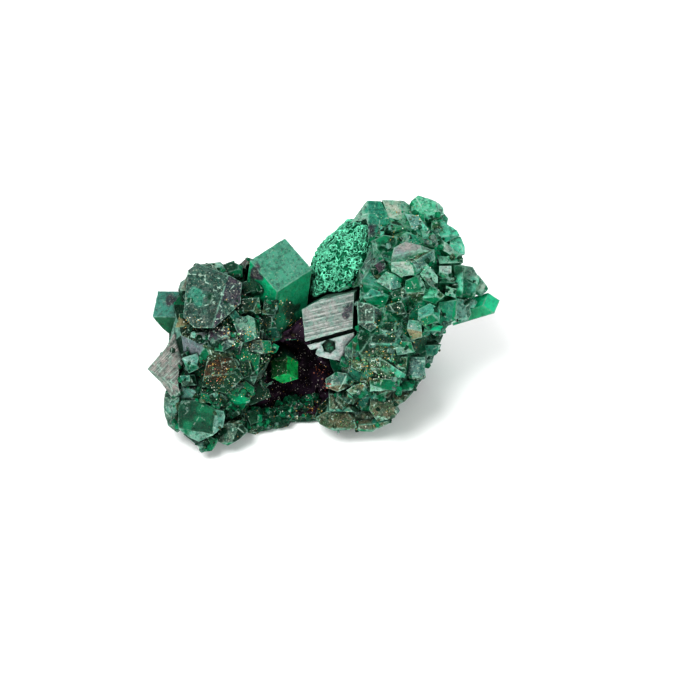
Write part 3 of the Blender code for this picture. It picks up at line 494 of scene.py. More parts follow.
def facets_of(points, triangles):
    """For each triangle, the number of the flat facet that it is part of."""
    normals = normals_of(points, triangles)
    first, second, _ = neighbours(triangles)
    flat = (normals[first] * normals[second]).sum(axis=1) > math.cos(SAME_FACET)
    first, second = first[flat], second[flat]
    facet = np.arange(len(triangles))
    while True:
        least = np.minimum(facet[first], facet[second])
        spread = facet.copy()
        np.minimum.at(spread, first, least)
        np.minimum.at(spread, second, least)
        if (spread == facet).all():
            return facet
        facet = spread


def split_finely(points, triangles, facet, longest):
    """Halves the longest sides until none is longer than this, with no cracks between triangles."""
    while True:
        edges, edge = numbered_edges(triangles)
        length = np.linalg.norm(points[edges[:, 0]] - points[edges[:, 1]], axis=1)
        worst = edge[np.arange(len(edge)), length[edge].argmax(axis=1)]
        halved = np.unique(worst[length[worst] > longest])
        if not len(halved):
            return points, triangles, facet
        middle = np.full(len(edges), -1)
        middle[halved] = len(points) + np.arange(len(halved))
        points = np.vstack((points, points[edges[halved]].mean(axis=1)))
        cut = middle[edge]
        count = (cut >= 0).sum(axis=1)
        # The first corner is turned so that a lone cut is on side 0, and two cuts are on sides 0 and 1
        start = np.where(count == 1, (cut >= 0).argmax(axis=1), 0)
        start = np.where(count == 2, ((cut < 0).argmax(axis=1) + 1) % 3, start)
        turn = (start[:, None] + np.arange(3)) % 3
        corner = np.take_along_axis(triangles, turn, axis=1)
        cut = np.take_along_axis(cut, turn, axis=1)
        a, b, c = corner.T
        ab, bc, ca = cut.T
        made = []
        kept = []
        for number, pieces in (
            (0, ((a, b, c),)),
            (1, ((a, ab, c), (ab, b, c))),
            (2, ((ab, b, bc), (a, ab, bc), (a, bc, c))),
            (3, ((a, ab, ca), (ab, b, bc), (bc, c, ca), (ab, bc, ca))),
        ):
            chosen = count == number
            for piece in pieces:
                made.append(np.stack([side[chosen] for side in piece], axis=1))
                kept.append(facet[chosen])
        triangles, facet = np.vstack(made), np.concatenate(kept)


def closeness(points, marked, width):
    """How close each point lies to the marked ones: 1 on them, 0 from width away."""
    if not marked.any():
        return np.zeros(len(points))
    tree = kdtree.KDTree(int(marked.sum()))
    for index, place in enumerate(points[marked]):
        tree.insert(place, index)
    tree.balance()
    away = np.array([tree.find(place)[2] for place in points])
    return np.clip(1 - away / (width * MM), 0, 1)


def ridges_and_hollows(points, triangles, facet):
    """How close each point lies to an outward edge between facets, and to an inward one."""
    normals = normals_of(points, triangles)
    middles = points[triangles].mean(axis=1)
    first, second, ends = neighbours(triangles)
    bend = np.arccos(np.clip((normals[first] * normals[second]).sum(axis=1), -1, 1))
    sharp = (facet[first] != facet[second]) & (bend > SHARP)
    inward = (normals[first] * (middles[second] - middles[first])).sum(axis=1) > 0
    ridge = np.zeros(len(points), bool)
    hollow = np.zeros(len(points), bool)
    ridge[ends[sharp & ~inward]] = True
    hollow[ends[sharp & inward]] = True
    return closeness(points, ridge, WEAR_WIDTH), closeness(points, hollow, HOLLOW_WIDTH)


def rough(points, scale, seed=0.0):
    """Soft noise at each point, from -1 to 1. The scale is in lumps per millimetre."""
    shift = Vector((seed, seed * 1.7, -seed))
    return np.array([noise.noise(Vector(place) * (scale / MM) + shift) for place in points])


def streak_places(points, triangles, facet, along):
    """Per corner, how far across its facet's streaks a corner lies, in millimetres.

    The streaks run along the longest way of each facet, or as along says for a facet.
    """
    places = np.zeros((len(triangles), 3))
    order = np.argsort(facet, kind="stable")
    numbers, starts = np.unique(facet[order], return_index=True)
    normals = normals_of(points, triangles)
    for number, members in zip(numbers, np.split(order, starts[1:])):
        corners = points[triangles[members]].reshape(-1, 3)
        normal = normals[members].sum(axis=0)
        if number in along:
            direction = np.array(along[number])
        else:
            spread = corners - corners.mean(axis=0)
            direction = np.linalg.svd(spread.T @ spread)[0][:, 0]
        across = np.cross(normal, direction)
        across /= max(np.linalg.norm(across), 1e-20)
        places[members] = (points[triangles[members]] @ across) / MM + number
    return places


def sheltered(points, normals, outside):
    """How far each point is walled in by what stands before it, from 0 to 1."""
    turns = [2 * math.pi * ray / SHELTER_RAYS for ray in range(SHELTER_RAYS)]
    fan = [Vector((math.cos(t), math.sin(t), 0)) * math.sin(SHELTER_SLOPE) for t in turns]
    rise = Vector((0, 0, math.cos(SHELTER_SLOPE)))
    reach = SHELTER_REACH * MM
    result = np.zeros(len(points))
    for index, (place, normal) in enumerate(zip(points, normals)):
        normal = Vector(normal)
        stand = normal.to_track_quat("Z", "Y").to_matrix()
        start = Vector(place) + normal * SHELTER_START * MM
        total = 0.0
        for ray in fan:
            away = outside.ray_cast(start, stand @ (ray + rise), reach)[3]
            if away is not None:
                total += 1 - away / reach
        result[index] = total / SHELTER_RAYS
    return np.clip(result * SHELTER_GAIN, 0, 1)


# Faces and their looks


class Dress:
    """A node's finely split faces, with what is painted on them."""

    def __init__(self, node, longest):
        self.node = node
        self.coarse = welded(node)
        self.coarse_facet = facets_of(*self.coarse)
        fine = split_finely(*self.coarse, self.coarse_facet, longest * MM)
        self.points, self.triangles, self.facet = fine
        self.looks = {}
        self.patches = []
        self.along = {}


def chosen(mix, chance):
    """One look of a mix, picked by how often each comes."""
    names = [name for name, _ in mix]
    return chance.choices(names, [share for _, share in mix])[0]


def whole_surface(dresses):
    """All the solids as one tree, and the dress and facet of each of its triangles."""
    offsets = np.cumsum([0] + [len(dress.coarse[0]) for dress in dresses])
    points = np.vstack([dress.coarse[0] for dress in dresses])
    triangles = np.vstack([dress.coarse[1] + offset for dress, offset in zip(dresses, offsets)])
    owners = [(dress, facet) for dress in dresses for facet in dress.coarse_facet]
    return BVHTree.FromPolygons(points.tolist(), triangles.tolist()), owners


def pick_looks(outside, owners):
    """Gives the facets that are seen at the spots of FACES, STREAKS and PATCHES what these say."""

    def found(right, up):
        """The place, dress and facet at a spot, in a list that is empty beside the specimen."""
        place, _, index, _ = outside.ray_cast(seen(right, up, BEFORE_ALL), -TOWARD_VIEWER)
        return [] if index is None else [(place, *owners[index])]

    for look, spots in FACES.items():
        for spot in spots:
            for _, dress, facet in found(*spot):
                dress.looks[facet] = look
    for spot, (along, rise) in STREAKS:
        for _, dress, facet in found(*spot):
            dress.along[facet] = seen(along, rise) - seen(0, 0)
    for right, up, reach, look in PATCHES:
        for place, dress, _ in found(right, up):
            dress.patches.append((place, reach, look))


def painted(dress, seed, front_mix=FRONT_MIX, other_mix=OTHER_MIX, brightness=DEPTH_OF_COLOUR):
    """Per corner, the colour and the finish: clearness, streaks and mottling."""
    chance = random.Random(seed)
    normals = normals_of(*dress.coarse)
    facing = normals @ np.array(TOWARD_VIEWER)
    colours = {}
    finishes = {}
    for index, number in enumerate(dress.coarse_facet):
        if number in colours:
            continue
        mix = front_mix if facing[index] > FRONT_FACING else other_mix
        colour, *finish = LOOKS[dress.looks.get(number) or chosen(mix, chance)]
        tone = chance.uniform(*FACE_TONES)
        tint = np.array([chance.uniform(*RED_TINTS), 1.0, chance.uniform(*BLUE_TINTS)])
        colours[number] = linear(colour) * tone * tint * brightness
        finishes[number] = finish
    colour = np.repeat([colours[number] for number in dress.facet], 3, axis=0)
    finish = np.repeat([finishes[number] for number in dress.facet], 3, axis=0)
    for place, reach, look in dress.patches:
        away = np.linalg.norm(dress.points - np.array(place), axis=1) / MM
        near = away < reach * PATCH_FURTHEST
        ragged = PATCH_RAGGEDNESS * rough(dress.points[near], PATCH_SCALE)
        share = np.zeros(len(away))
        share[near] = np.clip((1 - away[near] / reach + ragged) * PATCH_SHARPNESS, 0, 1)
        share = share[dress.triangles.reshape(-1)][:, None]
        other, *other_finish = LOOKS[look]
        colour = colour * (1 - share) + linear(other) * brightness * share
        finish = finish * (1 - share) + np.array(other_finish) * share
    return colour, finish


def placed(name, data):
    """A new object in the scene."""
    made = bpy.data.objects.new(name, data)
    bpy.context.scene.collection.objects.link(made)
    return made


def mesh_object(name, points, triangles, paints, material, sharp=True):
    """A new object. Each paint is an attribute with a value of three numbers for each corner."""
    mesh = bpy.data.meshes.new(name)
    mesh.from_pydata(np.asarray(points).tolist(), [], np.asarray(triangles).tolist())
    for key, values in paints.items():
        attribute = mesh.attributes.new(key, "FLOAT_COLOR", "CORNER")
        values = np.hstack((values, np.ones((len(values), 1))))
        attribute.data.foreach_set("color", values.astype(np.float32).ravel())
    mesh.shade_smooth()
    if sharp:
        mesh.set_sharp_from_angle(angle=SHARP)
    mesh.materials.append(material)
    return placed(name, mesh)


def inside_box(points):
    """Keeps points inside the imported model's box."""
    return np.clip(points, *(np.array(corner) for corner in cad_bounds))


def upper_share(points):
    """0 for points that the viewer sees low on the specimen, 1 for those in its upper half."""
    low, high = GAP_GLOW_FROM
    up = (points - np.array(PICTURE_MIDDLE)) @ np.array(UPWARD_SEEN) / MM
    return np.clip((up - low) / (high - low), 0, 1)


def crystal_piece(name, dress, outside, seed, material, slot, pale_edges=1.0, painted_gap_glow=0.0, **mixes):
    """Dresses a node as crystal: worn edges, a faintly rough surface, and its looks painted on.

    Its gaps get painted shade, or, higher up and as far as asked, a painted green glow as of light coming
    through.
    """
    points, triangles, facet = dress.points, dress.triangles, dress.facet
    corners = triangles.reshape(-1)
    ridge, hollow = ridges_and_hollows(points, triangles, facet)
    outward = point_normals(points, triangles)
    shelter = sheltered(points, outward, outside)
    # A painted green glow in the gaps of the upper part, as of light coming through the crystals
    green = painted_gap_glow * upper_share(points)
    # Painted shade of hollows and gaps, lessened where the painted green glow comes in
    hollow = np.maximum(hollow, shelter) * (1 - GAP_GLOW_LIFTS_SHADE * green)
    chip = LEAST_WEAR + (1 - LEAST_WEAR) * np.clip(rough(points, CHIP_SCALE, seed) * 2, 0, 1)
    sunk = WEAR_DEPTH * ridge**2 * chip
    sunk = sunk + ROUGHNESS_HEIGHT * (1 + rough(points, ROUGHNESS_SCALE, seed + 5)) * (1 - ridge)

    colour, finish = painted(dress, seed, **mixes)
    # Painted shade where others stand close before a face, and in the upper part a painted green glow there
    # too, as of light coming through
    gap_shade_and_glow = shelter[corners, None] ** SHELTER_CURVE
    colour = colour * (1 - GAP_PAINTED_SHADE * gap_shade_and_glow) + green[corners, None] * gap_shade_and_glow * linear(PAINTED_GLOW_GREEN)

    across = streak_places(points, triangles, facet, dress.along)
    place = np.zeros(len(points))
    place[triangles] = across
    streaked = np.zeros(len(points))
    streaked[triangles] = finish[:, 1].reshape(-1, 3)
    grooves = np.array([noise.noise(Vector((value * STREAK_SCALE, seed, 0))) for value in place])
    cut = np.clip(streaked - STREAKS_CUT_FROM, 0, 1) * (1 - ridge)
    sunk = sunk + STREAK_HEIGHT * cut * (1 + grooves)

    points = inside_box(points - outward * (sunk * MM)[:, None])
    # Per corner: pale edges (wear and painted highlight), painted shade of hollows and gaps, and where each
    # lies across the streaks
    wear_light_and_shade_paint = np.stack((ridge[corners] * pale_edges, hollow[corners], across.reshape(-1)), axis=1)
    paints = {"colour": colour, "finish": finish, "wear_light_and_shade": wear_light_and_shade_paint}
    piece = mesh_object(name, points, triangles, paints, material)
    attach(piece, "root")
    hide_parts(dress.node)
    return piece


# Materials


def plug(tree, node, values):
    """Fills a node's inputs. Values are pairs of an input and a number, colour or socket."""
    for key, value in values:
        if isinstance(value, bpy.types.NodeSocket):
            tree.links.new(value, node.inputs[key])
        else:
            node.inputs[key].default_value = value


def add(tree, kind, values=(), **settings):
    """A new shader node, with settings of its own and its inputs filled."""
    made = tree.nodes.new("ShaderNode" + kind)
    for key, value in settings.items():
        setattr(made, key, value)
    plug(tree, made, values)
    return made


def mixed(tree, share, first, second, kind="MIX"):
    """One colour over another, by a share from 0 to 1."""
    first, second = (
        value if isinstance(value, bpy.types.NodeSocket) else (*value, 1) for value in (first, second)
    )
    values = ((0, share), (6, first), (7, second))
    return add(tree, "Mix", values, data_type="RGBA", blend_type=kind, clamp_factor=True).outputs[2]


def maths(tree, operation, *values):
    return add(tree, "Math", enumerate(values), operation=operation).outputs[0]


def times(tree, first, *others):
    """The first value times the product of the others."""
    return maths(tree, "MULTIPLY", first, times(tree, *others)) if others else first


def between(tree, value, low, high, start=0.0, end=1.0):
    """Rises from start to end as the value goes from low to high."""
    values = ((0, value), (1, low), (2, high), (3, start), (4, end))
    return add(tree, "MapRange", values).outputs[0]


def grain(tree, scale, detail=3.0, rough_share=0.55):
    """Noise in the object's own space. The scale is in lumps per millimetre."""
    place = add(tree, "TexCoord").outputs["Object"]
    values = (("Vector", place), ("Scale", scale / MM), ("Detail", detail), ("Roughness", rough_share))
    return add(tree, "TexNoise", values).outputs[0]


def cracks(tree, scale):
    """Thin straight lines, 1 along their middles. The scale is in cells per millimetre."""
    place = add(tree, "TexCoord").outputs["Object"]
    values = (("Vector", place), ("Scale", scale / MM))
    cells = add(tree, "TexVoronoi", values, feature="DISTANCE_TO_EDGE")
    return between(tree, cells.outputs["Distance"], *VEIN_EDGE)


def bumpy(tree, shader, height, depth, strength=0.8):
    """Relief from a height between 0 and 1. The depth is in millimetres."""
    values = (("Strength", strength), ("Distance", depth * MM), ("Height", height))
    plug(tree, shader, [("Normal", add(tree, "Bump", values).outputs[0])])


def new_material(name):
    material = bpy.data.materials.new(name)
    material.use_nodes = True
    return material, material.node_tree, material.node_tree.nodes["Principled BSDF"]


def attribute(tree, name):
    return add(tree, "Attribute", attribute_name=name).outputs["Color"]


def parts_of(tree, colour):
    return add(tree, "SeparateColor", ((0, colour),)).outputs


def crystal_material(name, clearness=0.5, gloss=0.12, ior=1.45, veins=1.5):
    """Crystal faces whose colour, clearness, streaks and mottling are painted on the mesh."""
    material, tree, shader = new_material(name)
    colour = attribute(tree, "colour")
    clear, streak, mottle = parts_of(tree, attribute(tree, "finish"))[:3]
    ridge, hollow, across = parts_of(tree, attribute(tree, "wear_light_and_shade"))[:3]
    frosted = maths(tree, "SUBTRACT", 1.0, clear)

    base = colour
    amounts = {"mottle": mottle, "often": times(tree, frosted, mottle, mottle)}
    noises = {}
    shares = {}
    for kind, scale, detail, rough_share, window, share, follows, over, tints in MOTTLING:
        noises[kind] = grain(tree, scale, detail, rough_share)
        shares[kind] = times(tree, between(tree, noises[kind], *window), amounts[follows], share)
        if tints:
            over = mixed(tree, 1.0, colour, over, "MULTIPLY")
        base = mixed(tree, shares[kind], base, over)

    vein_share = times(tree, cracks(tree, VEIN_CELLS), between(tree, noises["green"], *VEIN_WINDOW))
    base = mixed(tree, times(tree, vein_share, mottle, veins), base, VEIN_COLOUR)

    line_values = (("W", across), ("Scale", LINES_PER_MM), ("Detail", 4.0), ("Roughness", 0.7))
    lines = add(tree, "TexNoise", line_values, noise_dimensions="1D").outputs[0]
    streaky = times(tree, between(tree, noises["veils"], *STREAK_BREAKS), streak, streak)
    for window, share, over in STREAK_LINES:
        base = mixed(tree, times(tree, share, between(tree, lines, *window), streaky), base, over)

    # Pale edges: partly wear, partly a painted highlight where edges catch the light; chipped here and
    # there
    chips = between(tree, grain(tree, CHIPS_PER_MM), *CHIP_WINDOW)
    worn_and_highlit = times(tree, between(tree, ridge, *EDGE_WINDOW), chips, WORN_AND_HIGHLIGHT_SHARE)
    base = mixed(tree, worn_and_highlit, base, WORN_AND_HIGHLIGHT_COLOUR)
    # Painted shade: hollows and gaps darkened towards near black
    crevice_shade = times(tree, between(tree, hollow, *EDGE_WINDOW), CREVICE_SHADE_SHARE)
    base = mixed(tree, crevice_shade, base, CREVICE_SHADE_COLOUR)

    matt = maths(tree, "MULTIPLY_ADD", frosted, FROSTED_ROUGHNESS, CLEAR_ROUGHNESS)
    matt = maths(tree, "ADD", matt, times(tree, noises["specks"], SPECK_ROUGHNESS))
    through = times(tree, maths(tree, "SUBTRACT", 1.0, shares["specks"]), clear, clearness)
    values = (("Base Color", base), ("Roughness", matt), ("Transmission Weight", through))
    plug(tree, shader, (*values, ("IOR", ior), ("Specular IOR Level", gloss)))

    height = maths(tree, "MULTIPLY_ADD", lines, times(tree, streak, STREAK_RELIEF), noises["specks"])
    height = maths(tree, "ADD", height, times(tree, noises["clouds"], CLOUD_RELIEF))
    bumpy(tree, shader, height, 0.16)
    values = (("Color", (*CRYSTAL_TINT, 1)), ("Density", CRYSTAL_DENSITY))
    inner = add(tree, "VolumeAbsorption", values).outputs[0]
    plug(tree, tree.nodes["Material Output"], [("Volume", inner)])
    return material


def plain_grain_material(name, roughness):
    """Small grains and fibres, whose colour is painted on the mesh."""
    material, tree, shader = new_material(name)
    colour = attribute(tree, "colour")
    specks = grain(tree, 3.0)
    shade = between(tree, specks, *SPECK_SHADES)
    combined = add(tree, "CombineColor", ((0, shade), (1, shade), (2, shade))).outputs[0]
    base = mixed(tree, 1.0, colour, combined, "MULTIPLY")
    matt = between(tree, specks, *SPECK_WINDOW, roughness - 0.1, roughness + 0.15)
    plug(tree, shader, (("Base Color", base), ("Roughness", matt), ("Specular IOR Level", 0.2)))
    bumpy(tree, shader, specks, 0.05, 0.5)
    return material


def rock_material():
    """Dark purple rock with paler lumps and a few pale specks."""
    material, tree, shader = new_material("dark_matrix")
    noises = {"lumps": grain(tree, 0.5, 5.0, 0.65), "fine": grain(tree, 2.2, 4.0, 0.6)}
    base = ROCK_DARK
    for kind, window, over in ROCK_COLOURS:
        base = mixed(tree, between(tree, noises[kind], *window), base, over)
    matt = between(tree, noises["fine"], *SPECK_WINDOW, *ROCK_ROUGHNESS)
    plug(tree, shader, (("Base Color", base), ("Roughness", matt), ("Specular IOR Level", 0.1)))
    bumpy(tree, shader, maths(tree, "ADD", noises["lumps"], times(tree, noises["fine"], 0.5)), 0.25)
    return material


# Many small things joined in one mesh


def little_dioptase():
    """Points and faces of a crystal of radius 1: a six-sided prism with a three-faced end, tip at 0."""
    reach = math.cos(math.radians(30))
    drop = reach * math.tan(ROOF_SLOPE)
    corners = [math.radians(30 + 60 * i) for i in range(6)]
    rim = [(math.cos(a), math.sin(a), -drop) for a in corners]
    low = [(math.cos(a), math.sin(a), -drop - PRISM_LENGTH) for a in corners]
    roof = []
    for turn in (60, 180, 300):
        a = math.radians(turn)
        roof.append((reach * math.cos(a), reach * math.sin(a), -drop / 2))
    points = [*rim, *low, *roof, (0, 0, 0)]
    faces = [tuple(range(11, 5, -1))]
    for i in range(6):
        j = (i + 1) % 6
        top = (j, 12 + i // 2, i) if i % 2 == 0 else (j, i)
        faces.append((6 + i, 6 + j, *top))
    for i in range(3):
        before, after = 12 + (i + 2) % 3, 12 + i
        left, right = (2 * i + 5) % 6, 2 * i
        faces.append((15, before, left, right, after))
    triangles = [(face[0], face[k], face[k + 1]) for face in faces for k in range(1, len(face) - 1)]
    return np.array(points), np.array(triangles)


def little_grain():
    """Points and triangles of a rough grain: an octahedron."""
    points = np.array([(1, 0, 0), (-1, 0, 0), (0, 1, 0), (0, -1, 0), (0, 0, 1), (0, 0, -1)], float)
    triangles = [(4, 0, 2), (4, 2, 1), (4, 1, 3), (4, 3, 0), (5, 2, 0), (5, 1, 2), (5, 3, 1), (5, 0, 3)]
    return points, np.array(triangles)


class Swarm:
    """Gathers small forms, or many copies of one, to be joined in one mesh."""

    def __init__(self, form=None):
        self.form = form
        self.points = []
        self.triangles = []
        self.colours = []
        self.finishes = []
        self.count = 0

    def put(self, place, axis, turn, size, colour, finish=(0.0, 0.0, 0.0)):
        """Adds a copy. The place is in metres and the size in millimetres."""
        points, triangles = self.form
        upright = Vector(axis).to_track_quat("Z", "Y").to_matrix()
        stand = np.array(upright @ Matrix.Rotation(turn, 3, "Z"))
        self.join((points * size) @ stand.T * MM + np.asarray(place), triangles, colour)
        self.finishes.append(np.repeat([finish], 3 * len(triangles), axis=0))

    def join(self, points, triangles, colour):
        """Adds points and triangles of one colour."""
        self.points.append(inside_box(points))
        self.triangles.append(np.array(triangles) + self.count)
        self.colours.append(np.repeat([colour], 3 * len(triangles), axis=0))
        self.count += len(points)

    def piece(self, name, material, slot):
        """Joins the copies in one object."""
        colour, finish = np.vstack(self.colours), np.vstack(self.finishes)
        paints = {"colour": colour, "finish": finish, "wear_light_and_shade": np.zeros((len(colour), 3))}
        piece = mesh_object(name, np.vstack(self.points), np.vstack(self.triangles), paints, material)
        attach(piece, "root")
        return piece


def spread(dress, number, seed):
    """Random places on a dress, with their normals and facets, even over its area."""
    points, triangles = dress.coarse
    area = areas_of(points, triangles)
    chance = np.random.default_rng(seed)
    picked = chance.choice(len(triangles), number, p=area / area.sum())
    a, b, c = points[triangles[picked]].transpose(1, 0, 2)
    share = chance.random((number, 2))
    over = share.sum(axis=1) > 1
    share[over] = 1 - share[over]
    places = a + share[:, :1] * (b - a) + share[:, 1:] * (c - a)
    return places, normals_of(points, triangles)[picked], dress.coarse_facet[picked]


def overgrowth(name, dress, outside, number, seed, radii, bare, mix, material, slot):
    """Small crystals that cover a lobe's smaller faces and its hollows."""
    area = np.bincount(dress.coarse_facet, areas_of(*dress.coarse))
    swarm = Swarm(little_dioptase())
    chance = random.Random(seed)
    for place, normal, facet in zip(*spread(dress, number, seed)):
        normal = Vector(normal)
        start = Vector(place) + normal * ROOM_START * MM
        covered = outside.ray_cast(start, normal, OPEN_ROOM * MM)[0] is not None
        wide = area[facet] > bare * MM * MM and chance.random() > ON_WIDE_FACE
        if covered or wide or place[2] < LOWEST_GROWTH * MM:
            continue
        radius = radii[0] + (radii[1] - radii[0]) * chance.random() ** 2
        lean = Vector(chance.uniform(-1, 1) for _ in range(3)) * LEAN
        size = (radius, radius * chance.uniform(*CRYSTAL_WIDTHS), radius * chance.uniform(*CRYSTAL_LENGTHS))
        colour, *finish = LOOKS[chosen(mix, chance)]
        colour = linear(colour) * chance.uniform(*CRYSTAL_TONES)
        tip = Vector(place) + normal * radius * chance.uniform(*TIP_HEIGHTS) * MM
        in_sight = normal.dot(TOWARD_VIEWER) > FACES_BACK
        if in_sight and outside.ray_cast(tip, -TOWARD_VIEWER)[0] is None:
            continue
        swarm.put(tip, normal + lean, chance.uniform(0, ANY_TURN), size, colour, finish)
    return swarm.piece(name, material, slot)


def grains(name, outside, material, slot):
    """Grains of gold, white, orange and pink that lie in the hollows, where GRAINS puts them."""
    swarm = Swarm(little_grain())
    chance = random.Random(SEEDS["grains"])
    for right, up, reach, number, radius, colours in GRAINS:
        for _ in range(number):
            away = reach * math.sqrt(chance.random())
            turn = chance.uniform(0, 2 * math.pi)
            start = seen(right + away * math.cos(turn), up + away * math.sin(turn), BEFORE_ALL)
            place, normal = outside.ray_cast(start, -TOWARD_VIEWER)[:2]
            if place is None:
                continue
            wide = radius * (LEAST_GRAIN + GRAIN_SPREAD * chance.random() ** 2)
            size = [wide * chance.uniform(*GRAIN_SHAPES) for _ in range(3)]
            colour = linear(GRAIN_COLOURS[chance.choice(colours)]) * chance.uniform(*GRAIN_TONES)
            axis = Vector(chance.uniform(-1, 1) for _ in range(3))
            swarm.put(place, axis, 0.0, size, colour)
    return swarm.piece(name, material, slot)


# The malachite and the rock


def tube(path, normals, radius):
    """Points and triangles of a thin tube along a path, pointed at both ends."""
    points = [path[0]]
    triangles = []
    for step in range(1, len(path) - 1):
        along = (path[step + 1] - path[step - 1]).normalized()
        side = along.cross(normals[step]).normalized()
        above = side.cross(along)
        for corner in range(TUBE_SIDES):
            turn = 2 * math.pi * corner / TUBE_SIDES
            points.append(path[step] + (side * math.cos(turn) + above * math.sin(turn)) * radius * MM)
    points.append(path[-1])
    rings = len(path) - 2
    for corner in range(TUBE_SIDES):
        after = (corner + 1) % TUBE_SIDES
        triangles.append((0, 1 + after, 1 + corner))
        for ring in range(rings - 1):
            low, high = 1 + ring * TUBE_SIDES, 1 + (ring + 1) * TUBE_SIDES
            triangles.append((low + corner, low + after, high + after))
            triangles.append((low + corner, high + after, high + corner))
        last = 1 + (rings - 1) * TUBE_SIDES
        triangles.append((last + corner, last + after, 1 + rings * TUBE_SIDES))
    return points, triangles


def malachite(dress, material):
    """The malachite's lumpy bed, with curled fibres lying over and under each other on it."""
    normals = point_normals(dress.points, dress.triangles)
    lumps = rough(dress.points, BED_SCALE, SEEDS["bed"])
    lumps = lumps + FINE_BED_SHARE * rough(dress.points, FINE_BED_SCALE, SEEDS["fine_bed"])
    bed = dress.points - normals * ((BED_DEPTH + BED_LUMPS * lumps) * MM)[:, None]
    swarm = Swarm()
    swarm.join(bed, dress.triangles, linear(MALACHITE_BED))
    tree = BVHTree.FromPolygons(dress.coarse[0].tolist(), dress.coarse[1].tolist())
    chance = random.Random(SEEDS["fibres"])
    for place in spread(dress, FIBRES, SEEDS["fibre_places"])[0]:
        radius = chance.uniform(*FIBRE_RADII)
        lift = chance.uniform(0, FIBRE_LIFT)
        turn = chance.choice((-1, 1)) * chance.uniform(*FIBRE_TURNS)
        spot, normal = tree.find_nearest(Vector(place))[:2]
        facing = Matrix.Rotation(chance.uniform(0, ANY_TURN), 3, normal)
        along = (facing @ normal.orthogonal()).normalized()
        path = []
        ups = []
        for step in range(FIBRE_STEPS):
            arch = math.sin(math.pi * step / (FIBRE_STEPS - 1))
            path.append(spot + normal * ((lift + FIBRE_ARCH) * arch - FIBRE_ROOT) * MM)
            ups.append(normal)
            spot, normal = tree.find_nearest(spot + along * FIBRE_STEP * MM)[:2]
            turn += chance.uniform(-FIBRE_WANDER, FIBRE_WANDER)
            along = Matrix.Rotation(turn, 3, normal) @ along
            along = (along - normal * along.dot(normal)).normalized()
        # Painted light and shade: raised fibres are painted lighter, low ones darker
        shade = LOW_FIBRE_PAINTED_SHADE + PAINTED_LIGHT_WITH_LIFT * lift
        colour = linear(MALACHITE_FIBRE) * shade * chance.uniform(*FIBRE_TONES)
        swarm.join(*tube(path, ups, radius), colour)
    paints = {"colour": np.vstack(swarm.colours)}
    points, triangles = np.vstack(swarm.points), np.vstack(swarm.triangles)
    piece = mesh_object("malachite_fibres", points, triangles, paints, material, sharp=False)
    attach(piece, "root")
    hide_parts(dress.node)
    return piece


def rock(dress, material):
    """The dark rock: its face sunk in lumps and ridges, but even along its flat foot."""
    points = dress.points
    normals = point_normals(points, dress.triangles)
    above_cut = np.clip(points[:, 2] / MM / ROCK_FOOT, 0, 1)
    depth = ROCK_DEPTH + ROCK_LUMPS * rough(points, ROCK_SCALE, SEEDS["rock"])
    depth = depth + ROCK_RIDGES * np.abs(rough(points, RIDGE_SCALE, SEEDS["ridges"]))
    points = inside_box(points - normals * (depth * above_cut * MM)[:, None])
    piece = mesh_object("matrix_surface", points, dress.triangles, {}, material, sharp=False)
    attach(piece, "root")
    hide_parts(dress.node)
    return piece


# The view, and all pieces


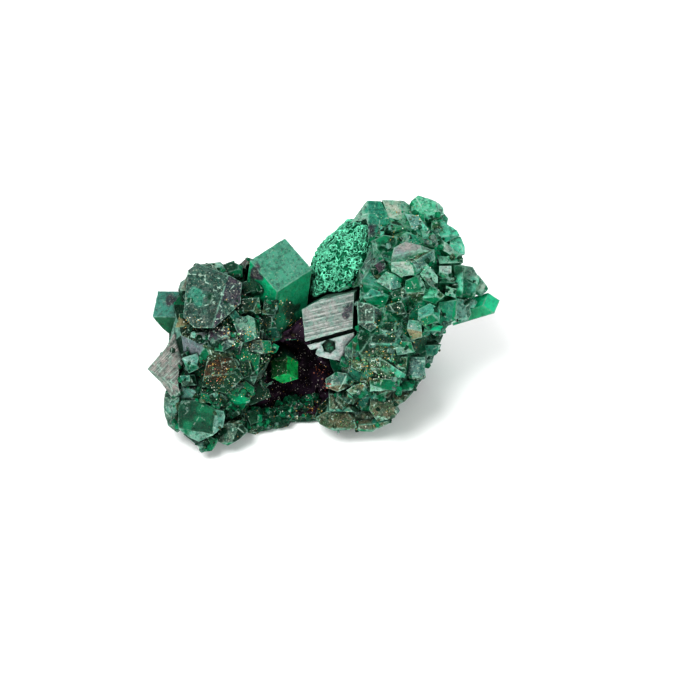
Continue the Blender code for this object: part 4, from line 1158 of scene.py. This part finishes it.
def camera_and_light():
    """The camera at the photo's angle, a pale floor and soft light."""
    scene = bpy.context.scene
    scene.view_settings.view_transform = "Standard"
    scene.view_settings.look = "High Contrast"
    camera = bpy.data.cameras.new("camera")
    camera.lens = camera.sensor_width * CAMERA_DISTANCE / FIELD_WIDTH
    camera.clip_start = NEAREST_SEEN
    holder = placed("camera", camera)
    holder.location = seen(*AIM) + TOWARD_VIEWER * CAMERA_DISTANCE
    holder.rotation_euler = (math.pi / 2 - LOOK_DOWN, 0, 0)
    scene.camera = holder

    world = bpy.data.worlds.new("studio")
    world.use_nodes = True
    tree = world.node_tree
    plug(tree, tree.nodes["Background"], (("Color", (1, 1, 1, 1)), ("Strength", SKY)))
    scene.world = world
    for name, place, size, power in LAMPS:
        light = bpy.data.lights.new(name, "AREA")
        light.shape = "DISK"
        light.size = size
        light.energy = power
        lamp = placed(name, light)
        lamp.location = place
        lamp.rotation_euler = (-Vector(place)).to_track_quat("-Z", "Y").to_euler()

    material, tree, shader = new_material("floor")
    values = (("Base Color", (0.93, 0.93, 0.93, 1)), ("Roughness", 0.9), ("Specular IOR Level", 0.1))
    plug(tree, shader, values)
    mesh = bpy.data.meshes.new("floor")
    corners = [(x * FLOOR_REACH, y * FLOOR_REACH, 0) for x, y in ((-1, -1), (1, -1), (1, 1), (-1, 1))]
    mesh.from_pydata(corners, [], [(0, 1, 2, 3)])
    mesh.materials.append(material)
    floor = placed("floor", mesh)


def main():
    camera_and_light()
    clusters = crystal_material("cluster_crystal")
    single = crystal_material("clear_crystal", clearness=0.7, gloss=0.2, ior=1.66, veins=0.0)
    silvery = crystal_material("silvery_crystal", gloss=0.5, veins=0.0)
    dresses = {
        node: Dress(node, FINEST if node in ("striated_crystal", "upper_crystal") else FINE)
        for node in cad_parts
    }
    outside, owners = whole_surface(dresses.values())
    pick_looks(outside, owners)
    crystal_piece("left_lobe", dresses["left_crystal_cluster"], outside, 1, clusters, "frosted_crystal")
    right = dresses["right_crystal_cluster"]
    # Painted light: the right lobe's colours are painted lighter than the rest, as the light falls brighter
    # on that side; it also gets stronger pale edges and the painted green glow in its gaps
    looks = {"front_mix": RIGHT_MIX, "brightness": 1.0, "pale_edges": 1.3, "painted_gap_glow": 0.75}
    crystal_piece("right_lobe", right, outside, 2, clusters, "frosted_crystal", **looks)
    crust = dresses["lower_crystal_crust"]
    crystal_piece("lower_crust", crust, outside, 3, clusters, "frosted_crystal", front_mix=CRUST_MIX)
    singles = ("upper_crystal", "left_edge_crystal", "right_tip_crystal", "cavity_crystal")
    for seed, node in enumerate(singles, 10):
        edges = 0.6 if node == "cavity_crystal" else 1.0
        looks = {"pale_edges": edges, "front_mix": SINGLE_MIX, "other_mix": SINGLE_MIX}
        crystal_piece(node + "_faces", dresses[node], outside, seed, single, "emerald_crystal", **looks)
    crystal_piece("striated_block", dresses["striated_crystal"], outside, 20, silvery, "silvery_crystal")
    rock(dresses["matrix_rock"], rock_material())
    malachite(dresses["malachite_crust"], plain_grain_material("malachite_fibre", 0.6))
    for name, node, number, seed, radii, bare, mix, slot in GROWTHS:
        overgrowth(name, dresses[node], outside, number, seed, radii, bare, mix, clusters, slot)
    grains("loose_grains", outside, plain_grain_material("grain", 0.4), "matrix")


main()
